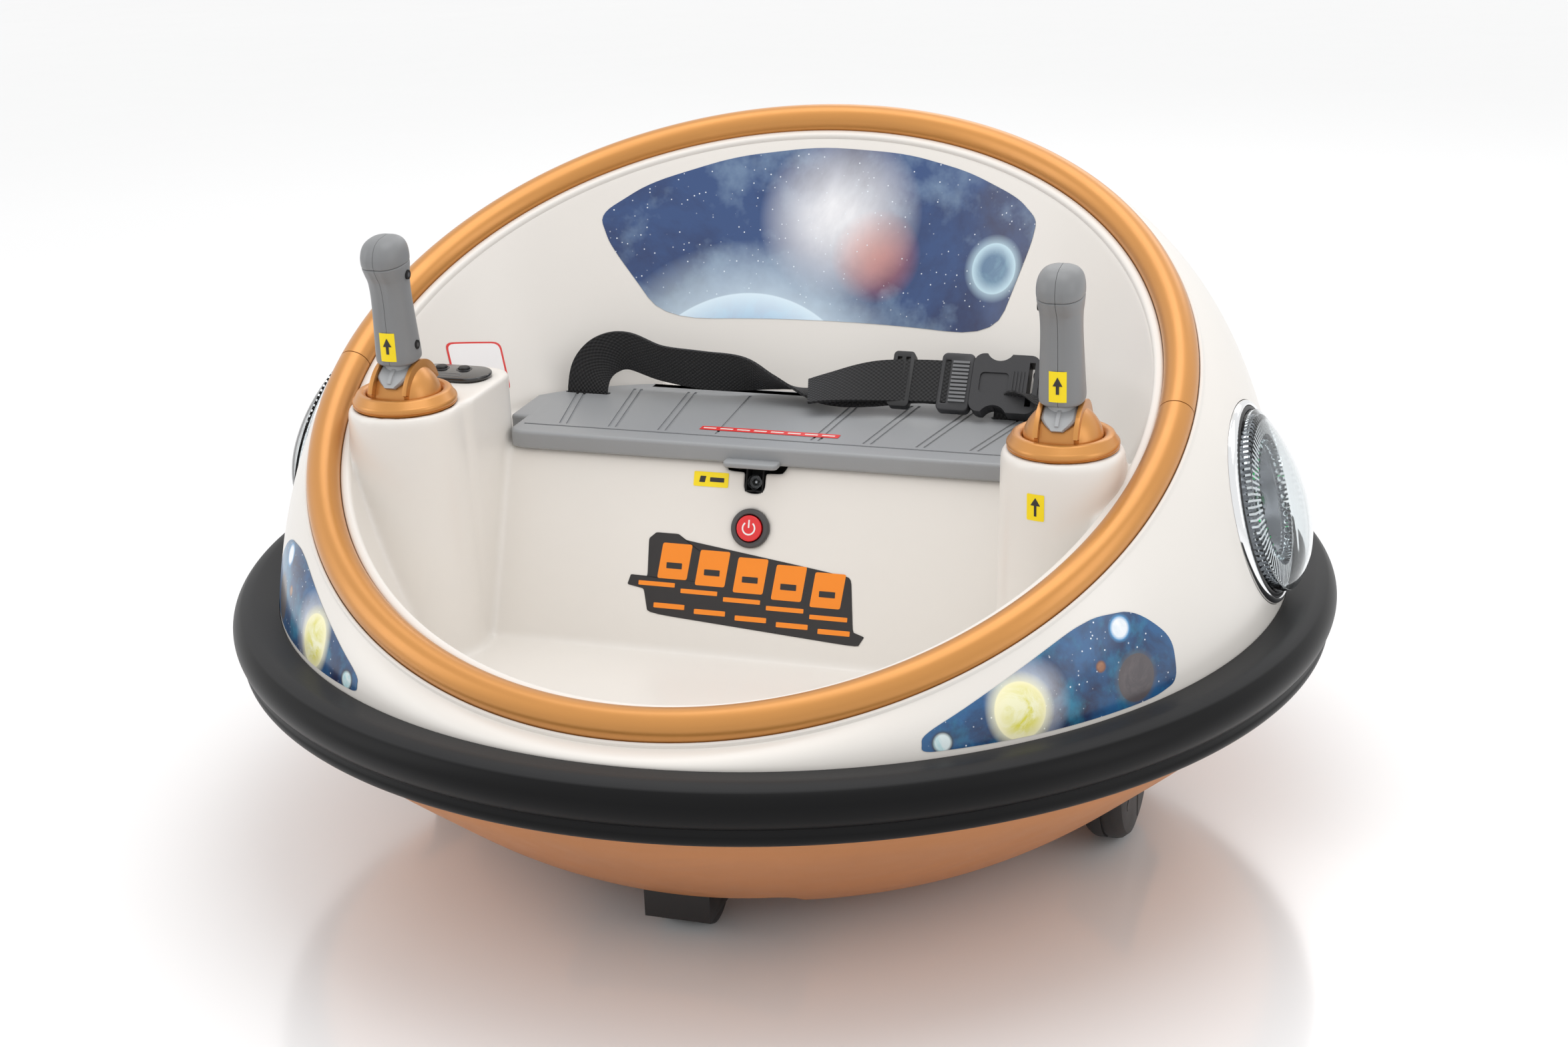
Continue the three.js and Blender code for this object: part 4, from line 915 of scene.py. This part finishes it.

# A near-black lining in the charge slot: painted shade of the recess.
slot_shade = tool(box((-6.3, 0.3, 111.3), (6.3, 11.6, 126.6)))
combine(slot_shade, tool(box((-5.3, -4, 112.3), (5.3, 10.4, 130))))
dress(slot_shade, "charge_slot_shade", HOLLOW_SHADE, place=RISER)
socket = rod("y", 4.1, 3.6, 9.6, (0, 118), 40)
sock = make("charge_socket_barrel", *socket, BEZEL, stands_for=["charge_socket"], slot="black_plastic",
            place=RISER)
combine(sock, tool(rod("y", 2.6, 0, 9, (0, 118), 32), RISER))
make("charge_socket_pin", *rod("y", 0.8, 4.4, 9.2, (0, 118), 20), STEEL, place=RISER)
port_cap = tool(rod("y", 4.8, 0.4, 1.5, (0, 118), 48))
combine(port_cap, tool(box((-1.7, 0.3, 111.6), (1.7, 1.3, 115))), "UNION")
combine(port_cap, tool(rod("y", 2.6, -0.6, 0.8, (0, 118), 40)))
dress(port_cap, "charge_cap_disc", LENS, "charge_cap", RISER, ["charge_cap"])
bevel(port_cap, 0.3, 2)


# ---------------------------------------------------------------- headlights
def headlight(side, name):
    at = light_frame(side)
    rim = [oval(0.2, -6), oval(0, 0.6), oval(0.1, 1.8), oval(0.8, 2.9), oval(1.8, 3.5), oval(2.8, 3.5),
           oval(3.6, 3.0), oval(3.9, 2.0), oval(3.9, -6)]
    make(f"{name}_bezel_ring", *loft(rim, around=True), CHROME, stands_for=[f"{name}_bezel"],
         slot="chrome_trim", place=at, sharp=50)
    seal = [oval(4.0, -5.6), oval(4.0, 2.2), oval(4.8, 3.1), oval(6.2, 3.3), oval(7.0, 2.6), oval(7.0, -5.6)]
    make(f"{name}_gasket", *loft(seal, around=True), BLACK, place=at, sharp=50)

    def dome(inset, offset):
        """The lens bulges most in its lower half."""
        loop = oval(inset, 0)
        push = 20 * (1 - (1 - inset / 66) ** 2.6) ** 0.75
        loop[:, 2] += push * (1 - 0.42 * loop[:, 1] / 66) + offset
        return loop
    insets = [7.2, 7.6, 8.6, 10.5, 13.5, 18, 25, 33, 42, 51, 59, 64.5]
    outer = [oval(7.2, -5)] + [dome(k, 1.6) for k in insets]
    inner = [dome(k + 0.6, -0.6) for k in insets[::-1][1:]] + [oval(9.2, -5)]
    make(f"{name}_lens_shell", *cupped(outer, inner), LENS, stands_for=[f"{name}_lens"], slot="clear_lens",
         place=at, sharp=60)
    ribs = [oval(9.6, -4.6, 576), oval(10.4, 2.6, 576, 0.8, 72), oval(14, 4.8, 576, 1.0, 72),
            oval(20, 4.4, 576, 1.0, 72), oval(25, 1.6, 576, 0.7, 72), oval(25.5, -3, 576),
            oval(11, -5.2, 576)]
    make(f"{name}_ribbed_rim", *loft(ribs, around=True), SILVER, place=at, sharp=70)
    fins = []
    for k in range(84):
        a = 2 * math.pi * k / 84
        around = np.array([math.cos(a), -math.sin(a)]) * 0.75
        foot, tip = (np.array([r * math.sin(a), r * math.cos(a)]) for r in (55, 42))
        quad = [foot - around, foot + around, tip + around, tip - around]
        drop = [(p[0] ** 2) / 680 + (p[1] ** 2) / 760 for p in quad]
        points = [(p[0], p[1], z - d) for z in (1.5, 7.5) for p, d in zip(quad, drop)]
        fins.append((points, box((0, 0, 0), (1, 1, 1))[1]))
    make(f"{name}_fins", *joined(*fins), CHROME, place=at)
    beads = []
    for k in range(40):
        a = 2 * math.pi * k / 40
        ball = turned([(0, -1.9)] + arc(0, 0, 1.9, -60, 60, 6) + [(0, 1.9)], 12)
        u, v = 37 * math.sin(a), 37 * math.cos(a)
        beads.append(shifted(ball, (u, v, 5.0 - u * u / 680 - v * v / 760)))
    make(f"{name}_beads", *joined(*beads), LENS, place=at)
    bowl = [oval(26, -1), oval(28, 1.6), oval(31, 1.2), oval(34, -3), oval(40, -12), oval(49, -20),
            oval(58, -24), oval(64.5, -25)]
    back = [oval(64.5, -27), oval(56, -26), oval(45, -19), oval(33, -9), oval(27, -3.5)]
    make(f"{name}_bowl", *cupped(bowl, back), SILVER, stands_for=[f"{name}_reflector"], slot="chrome_trim",
         place=at, sharp=50)
    cup = turned([(0, -23), (9, -23), (10, -12), (8, -4), (4, -1.5), (0, -0.8)], 48)
    make(f"{name}_projector", *cup, LENS, place=at)
    make(f"{name}_holder", *turned([(10.4, -24), (14, -24), (13, -11), (11, -9.5), (10.4, -11)], 48), GLOSS,
         place=at)
    # Three small green emitting studs behind the lens: painted green glints.
    for k, (x, y) in enumerate(((-14, -20), (15, 17), (20, -9))):
        make(f"{name}_glow_{k + 1}", *shifted(turned([(0, -3), (2.2, -3), (2.0, 1), (0, 2)], 20), (x, y, -8)),
             GREEN_GLINT, place=at)


def cupped(outer, inner):
    """Two skins joined at their rims and each closed in its middle."""
    loops = np.asarray(outer + inner)
    pts, faces = loft(loops, around=True, caps=False)
    n, m = loops.shape[:2]
    cut = len(outer) - 1
    faces = [f for k, f in enumerate(faces) if k // m != cut]
    faces.append(tuple(range(cut * m, (cut + 1) * m)))
    faces.append(tuple(range((cut + 1) * m, (cut + 2) * m)))
    return pts, faces


headlight(1, "headlight_left")
headlight(-1, "headlight_right")


# ---------------------------------------------------------------- wheels
def mirrored(half):
    """A wheel's outline from its half on one side, from the hub out."""
    return [(r, -h) for r, h in half] + half[::-1]


def drive(side, name):
    hub = Matrix.Translation((side * 239, -20, 60)) @ Matrix.Rotation(math.pi / 2, 4, "Y")
    half = [(6, 11), (20, 11), (24, 14.6), (50, 14.8), (56, 13), (59.2, 9), (60, 6), (60, 1.2), (58.6, 0.9)]
    tread = mirrored(half)
    body = f"drive_wheel_{name[6:]}"
    make(f"{name}_tyre", *turned(tread, 96), TYRE, body, [f"{name}_wheel"], "black_plastic", place=hub)
    spokes = []
    for k in range(6):
        turn = Matrix.Rotation(k * math.pi / 3, 4, "Z")
        pts, faces = box((23, -2, -14.9), (48, 2, 15.1))
        spokes.append(([tuple(turn @ Vector(p)) for p in pts], faces))
    make(f"{name}_spokes", *joined(*spokes), TYRE, body, place=hub)


def caster(side, name):
    at = Matrix.Translation((0, side * 196, 0))
    hoodline = [(-26, -10), (26, -10), (26, 8)] + [(26 * math.cos(a), 8 + 26 * math.sin(a))
                                                  for a in np.linspace(0.06, math.pi - 0.06, 26)] + [(-26, 8)]
    pts, faces = prism(hoodline, -22, 22)
    pts = np.array(pts)[:, [2, 0, 1]] + (0, -12, 22)
    hood = make(f"{name}_fork", pts, faces, BLACK, name, [f"{name}_hood"], "black_plastic", place=at)
    for s in (-1, 1):
        x0, x1 = s * 12.6 - 7.2, s * 12.6 + 7.2
        combine(hood, tool(rod("x", 23.6, x0, x1, (-12, 22), 48), at))
        combine(hood, tool(box((x0, -12 - 23.6, -6), (x1, -12 + 23.6, 22)), at))
    combine(hood, tool(rod("x", 3.3, -30, 30, (-12, 22), 24), at))
    bevel(hood, 1.0, 3)
    make(f"{name}_stem_post", *rod("z", 9, 54, 66.2, (0, 0), 40), STEEL, name, place=at)
    for s, label in ((1, "left"), (-1, "right")):
        face = Matrix.Translation((s * 12.6, side * 196 - 12, 22)) @ Matrix.Rotation(math.pi / 2, 4, "Y")
        roll = mirrored([(3.4, 5), (8, 5), (9, 6.4), (19, 6.4), (21.4, 5.2), (22, 3.4)])
        make(f"{name}_roller_{label}", *turned(roll, 64), TYRE, f"{name}_wheels", [f"{name}_wheel_{label}"],
             "charcoal_plastic", place=face)


drive(1, "drive_left")
drive(-1, "drive_right")
caster(-1, "caster_front")
caster(1, "caster_rear")

# ---------------------------------------------------------------- electrics inside the bench
battery = make("battery_case", *prism(rounded(150, 57, 5, 5, (0, -9.5)), 133.3, 219), CELL,
               stands_for=["battery"], slot="charcoal_plastic")
bevel(battery, 1.5, 3)
lid_line = make("battery_cover", *prism(rounded(148, 55, 5, 5, (0, -9.5)), 219, 225.2), CELL,
                slot="charcoal_plastic")
bevel(lid_line, 1.0, 2)
for x, mat in ((-48, REDINK), (48, INK)):
    make(f"battery_terminal_{'red' if mat is REDINK else 'black'}",
         *prism(rounded(14, 10, 2, 4, (x, 6)), 225.2, 228.6), mat)
traces = [box((96 + 9 * k, -44, 147.3), (101 + 9 * k, -30 + 3 * k, 151 + k)) for k in range(5)]
make("control_board_parts", *joined(*traces), INK)


# ---------------------------------------------------------------- printed films
def onto(point, direction, lift=0.3):
    """The tub surface met from a point in a direction, lifted off it."""
    d = Vector(direction).normalized()
    hit, normal, _, _ = TUB_TREE.ray_cast(Vector(point) * 0.001, d, 0.6)
    if hit is None:
        return tuple(point)
    if normal.dot(d) > 0:
        normal = -normal
    return tuple((hit + normal * (lift * 0.001)) * 1000)


def film(name, outline, centre, surface, mat, body=BODY, rings=14, thick=0.12):
    """A closed thin film: surface(u, v, lift) gives the point for each point of a star-shaped outline."""
    o, c = np.asarray(outline, float), np.asarray(centre, float)
    top, low = [], []
    for k in np.linspace(1, 0.04, rings):
        ring = c + (o - c) * k
        top.append([surface(u, v, 0.32) for u, v in ring])
        low.append([surface(u, v, 0.32 - thick) for u, v in ring])
    pts, faces = cupped(top, low[::-1])
    return make(name, pts, faces, mat, body, sharp=50)


def smooth_outline(corners, radius_share=0.22, steps=6):
    """Rounds each corner of a polygon."""
    c = np.asarray(corners, float)
    out = []
    for i in range(len(c)):
        before, here, after = c[i - 1], c[i], c[(i + 1) % len(c)]
        a, b = here + (before - here) * radius_share, here + (after - here) * radius_share
        out += [(1 - t) ** 2 * a + 2 * t * (1 - t) * here + t * t * b for t in np.linspace(0, 1, steps)]
        mid = [b + ((after + (here - after) * radius_share) - b) * t for t in np.linspace(0, 1, 7)[1:-1]]
        out += mid
    return np.array(out)


def back_wall(x, z, lift):
    return onto((x, 20, z), (0, 1, 0), lift)


SKY_BACK = space("film_seat_back", (0.006, 0.013, 0.075), (0.022, 0.065, 0.20), (0.26, 0.38, 0.52),
                 (5, 150, 376), 62, [
                     ((-60, 150, 200), 130, (0.75, 0.9, 1.0), (0.0, 0.12, 0.42), (0.01, 0.30, 0.62)),
                     ((128, 125, 348), 22, (0.55, 0.75, 0.85), (0.10, 0.20, 0.33), (0.16, 0.30, 0.42))],
                 warm=(35, 150, 345))
back_outline = smooth_outline([(-167, 382), (-136, 401), (-78, 417), (-15, 424), (50, 421.5), (98, 413),
                               (138, 400), (154, 388), (151, 372), (128, 308), (0, 309.5), (-118, 308),
                               (-158, 360)], 0.3)
film("film_seat_back_panel", back_outline, (0, 360), back_wall, SKY_BACK, rings=26)


def skirt_film(side):
    """Across is the angle around the car, up is the height on the skirt."""
    ts = np.linspace(0, 0.9, 300)

    def surface(degrees, height, lift):
        a = side * math.radians(degrees)
        low, knee, high = (skirt_point(a, t)[2] for t in (0.0, 0.5, 1.0))
        knee = 2 * knee - (low + high) / 2
        t = float(np.interp(height, (1 - ts) ** 2 * low + 2 * ts * (1 - ts) * knee + ts * ts * high, ts))
        p = skirt_point(a, t)
        n = np.cross(skirt_point(a + 0.01, t) - p, skirt_point(a, t + 0.01) - p)
        n /= np.linalg.norm(n)
        if n[0] * p[0] + n[1] * p[1] < 0:
            n = -n
        return tuple(p + n * lift)
    return surface


for side, name in ((1, "left"), (-1, "right")):
    planets = [
        ((side * 218, -247, 187), 20, (0.98, 0.93, 0.6), (0.75, 0.70, 0.06), (0.95, 0.93, 0.62)),
        ((side * 188, -288, 180.5), 6.2, (0.03, 0.03, 0.05), (0.25, 0.62, 0.68), (0.75, 0.85, 0.86)),
        ((side * 279, -193, 190), 14.5, (0.10, 0.085, 0.09), (0.09, 0.078, 0.085), (0.13, 0.11, 0.115)),
        ((side * 262, -212, 203), 3.6, (0.2, 0.08, 0.04), (0.42, 0.22, 0.12), (0.3, 0.13, 0.07)),
        ((side * 270, -195, 221), 7.2, (0.06, 0.3, 0.6), (0.75, 0.82, 0.88), (0.9, 0.92, 0.95))]
    sky = space(f"film_front_{name}", (0.006, 0.012, 0.06), (0.012, 0.10, 0.26), (0.02, 0.26, 0.42),
                (side * 222, -243, 190), 30, planets, spread=22)
    outline = smooth_outline([(31.0, 176), (31.6, 185.5), (40.5, 203), (53, 226.5), (56, 230.5), (59, 229),
                              (61.5, 205), (61, 178.5), (57.5, 174.5), (46, 174.6), (36, 175.4)], 0.3)
    film(f"film_front_{name}_panel", outline, (50, 192), skirt_film(side), sky, rings=22)


def on_riser(x, up, lift):
    return onto(riser(x, up, 30), riser(0, 0, -1) - np.array(riser(0, 0, 0)), lift)


def bars(name, boxes, mat, surface, extra, body=BODY):
    """Flat printed bars, each (left, low, right, high, lean)."""
    for k, (x0, z0, x1, z1, lean) in enumerate(boxes):
        quad = [(x0, z0), (x1, z0), (x1 + lean, z1), (x0 + lean, z1)]
        film(f"{name}_{k + 1}", smooth_outline(quad, 0.06, 3), ((x0 + x1 + lean) / 2, (z0 + z1) / 2),
             lambda u, v, h: surface(u, v, h + extra), mat, body, rings=3, thick=0.1)


badge = smooth_outline([(-71, 75), (-66, 79.5), (-50, 79.5), (-46, 76), (44, 64), (72, 60), (76, 24.5),
                        (84, 22), (80, 15), (-68, 25), (-72, 41), (-84, 43), (-82, 50), (-70, 49)], 0.12, 4)
film("badge_plate", badge, (0, 48), on_riser, INK, rings=8)
bars("badge_bar", [(-63 + 27 * k, 49 - 2.6 * k, -42 + 27 * k, 73 - 2.8 * k, 2.5) for k in range(5)], ORANGE,
     on_riser, 0.12)
bars("badge_notch", [(-57 + 27 * k, 56 - 2.6 * k, -46 + 27 * k, 60 - 2.6 * k, 0) for k in range(5)], INK,
     on_riser, 0.24)
bars("badge_line", [(-76 + 30.4 * k, 43.4 - 3.2 * k, -50 + 30.4 * k, 46.4 - 3.2 * k, 0) for k in range(5)]
     + [(-64 + 29 * k, 29 - 1.9 * k, -42 + 29 * k, 32.4 - 1.9 * k, 0) for k in range(5)],
     ORANGE, on_riser, 0.12)
bars("port_sticker", [(-42.5, 112.6, -18, 122.5, 0)], YELLOW, on_riser, 0)
bars("port_sticker_mark", [(-31, 116, -21, 119, 0), (-38.6, 115.4, -34.6, 119.6, 0.8)], INK, on_riser, 0.12)


def on_pedestal(x, z, lift):
    return onto((x, -200, z), (0, 1, 0), lift)


bars("pedestal_sticker", [(206, 268, 217, 284.5, 0)], YELLOW, on_pedestal, 0)
bars("pedestal_sticker_mark", [(210.7, 270.8, 212.3, 277.6, 0)], INK, on_pedestal, 0.12)
film("pedestal_sticker_head", smooth_outline([(208.4, 277.4), (214.6, 277.4), (211.5, 282.4)], 0.06, 3),
     (211.5, 279), lambda u, v, h: on_pedestal(u, v, h + 0.12), INK, rings=3, thick=0.1)


def on_side_wall(along, height, lift):
    """The tub wall behind the console: along it and up it."""
    return onto((-211 + 0.6 * along, -1.4 + 0.8 * along, height - 0.2 * along),
                (-0.8, 0.6, 0), lift)


label = smooth_outline([(-23, 277), (21, 275), (21, 309), (-23, 308)], 0.14, 5)
film("wall_label_outline", label, (-1, 292), on_side_wall, REDINK, rings=6)
film("wall_label_face", (label - (-1, 292)) * (0.93, 0.93) + (-1, 292), (-1, 292),
     lambda u, v, h: on_side_wall(u, v, h + 0.1), MARK, rings=6, thick=0.1)


def on_lid(x, y, lift):
    return (x, y, 267.9 + lift)


bars("lid_sticker", [(-48, -26, 50, -18.4, 0)], REDINK, on_lid, 0)
bars("lid_sticker_mark", [(-46 + 12 * k, -23.2, -37 + 12 * k, -21.2, 0) for k in range(8)],
     WHITE, on_lid, 0.1)
for o in bpy.context.scene.objects:
    if o.name.startswith("lid_sticker"):
        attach(o, "seat_lid")

# ---------------------------------------------------------------- shown CAD nodes
for name, mat in (("seat_hinge_pin_left", STEEL), ("seat_hinge_pin_right", STEEL),
                  ("joystick_left_pivot_pin", STEEL), ("joystick_right_pivot_pin", STEEL),
                  ("drive_left_axle", STEEL), ("drive_right_axle", STEEL),
                  ("drive_left_gearbox", CHARCOAL), ("drive_right_gearbox", CHARCOAL),
                  ("drive_left_motor", STEEL), ("drive_right_motor", STEEL),
                  ("caster_front_plate", STEEL), ("caster_rear_plate", STEEL),
                  ("caster_front_axle", STEEL), ("caster_rear_axle", STEEL),
                  ("battery_strap", STEEL), ("control_board", BOARD), ("speaker", BLACK)):
    node = frame["nodes"][name]
    node.data.materials.clear()
    node.data.materials.append(mat)
    soften(node, 30)

# ---------------------------------------------------------------- room, light and camera
floor_look = Shader("floor_pale", (0.95, 0.95, 0.955), 0.16, Coat_Weight=1.0, Coat_Roughness=0.12)
floor_look.wear(3, 0.03)
ground = make("floor", *box((-9000, -6000, -20), (9000, 12000, -0.4)), floor_look.mat, body=None)

world = bpy.data.worlds.new("studio")
bpy.context.scene.world = world
world.use_nodes = True
world.node_tree.nodes["Background"].inputs["Color"].default_value = (1, 1, 1, 1)
world.node_tree.nodes["Background"].inputs["Strength"].default_value = 0.95


def lamp(name, at, aim, width, height, power, color=(1, 1, 1)):
    data = bpy.data.lights.new(name, "AREA")
    data.shape = "RECTANGLE"
    data.size, data.size_y, data.energy, data.color = width, height, power, color
    obj = bpy.data.objects.new(name, data)
    bpy.context.scene.collection.objects.link(obj)
    obj.location = at
    obj.rotation_euler = (Vector(aim) - Vector(at)).to_track_quat("-Z", "Y").to_euler()
    return obj


lamp("top_softbox", (0.1, 0.1, 2.1), (0, 0, 0.2), 1.8, 1.3, 12)
lamp("left_softbox", (-1.9, -0.9, 1.1), (0, 0, 0.2), 0.9, 1.5, 5.5)
lamp("right_softbox", (2.0, -0.5, 1.0), (0, 0, 0.2), 0.8, 1.5, 4.5)
lamp("back_softbox", (0.2, 2.0, 1.5), (0, 0, 0.3), 2.0, 0.8, 6.3)

azimuth, elevation = math.radians(18.594), math.radians(19.967)
back = Vector((math.sin(azimuth) * math.cos(elevation), -math.cos(azimuth) * math.cos(elevation),
               math.sin(elevation)))
forward = Matrix.Rotation(math.radians(-0.04996), 3, "Z") @ -back
right = forward.cross(Vector((0, 0, 1))).normalized()
up = right.cross(forward)
roll = math.radians(-2.0192)
right, up = math.cos(roll) * right + math.sin(roll) * up, -math.sin(roll) * right + math.cos(roll) * up
lens = bpy.data.cameras.new("camera")
lens.sensor_width = 36
lens.lens = 55.25
lens.clip_start, lens.clip_end = 0.05, 60
camera = bpy.data.objects.new("camera", lens)
bpy.context.scene.collection.objects.link(camera)
camera.matrix_world = matrix((0.4989, -1.4828, 0.7630), right, up, -forward)
bpy.context.scene.camera = camera
bpy.context.scene.view_settings.view_transform = "Standard"
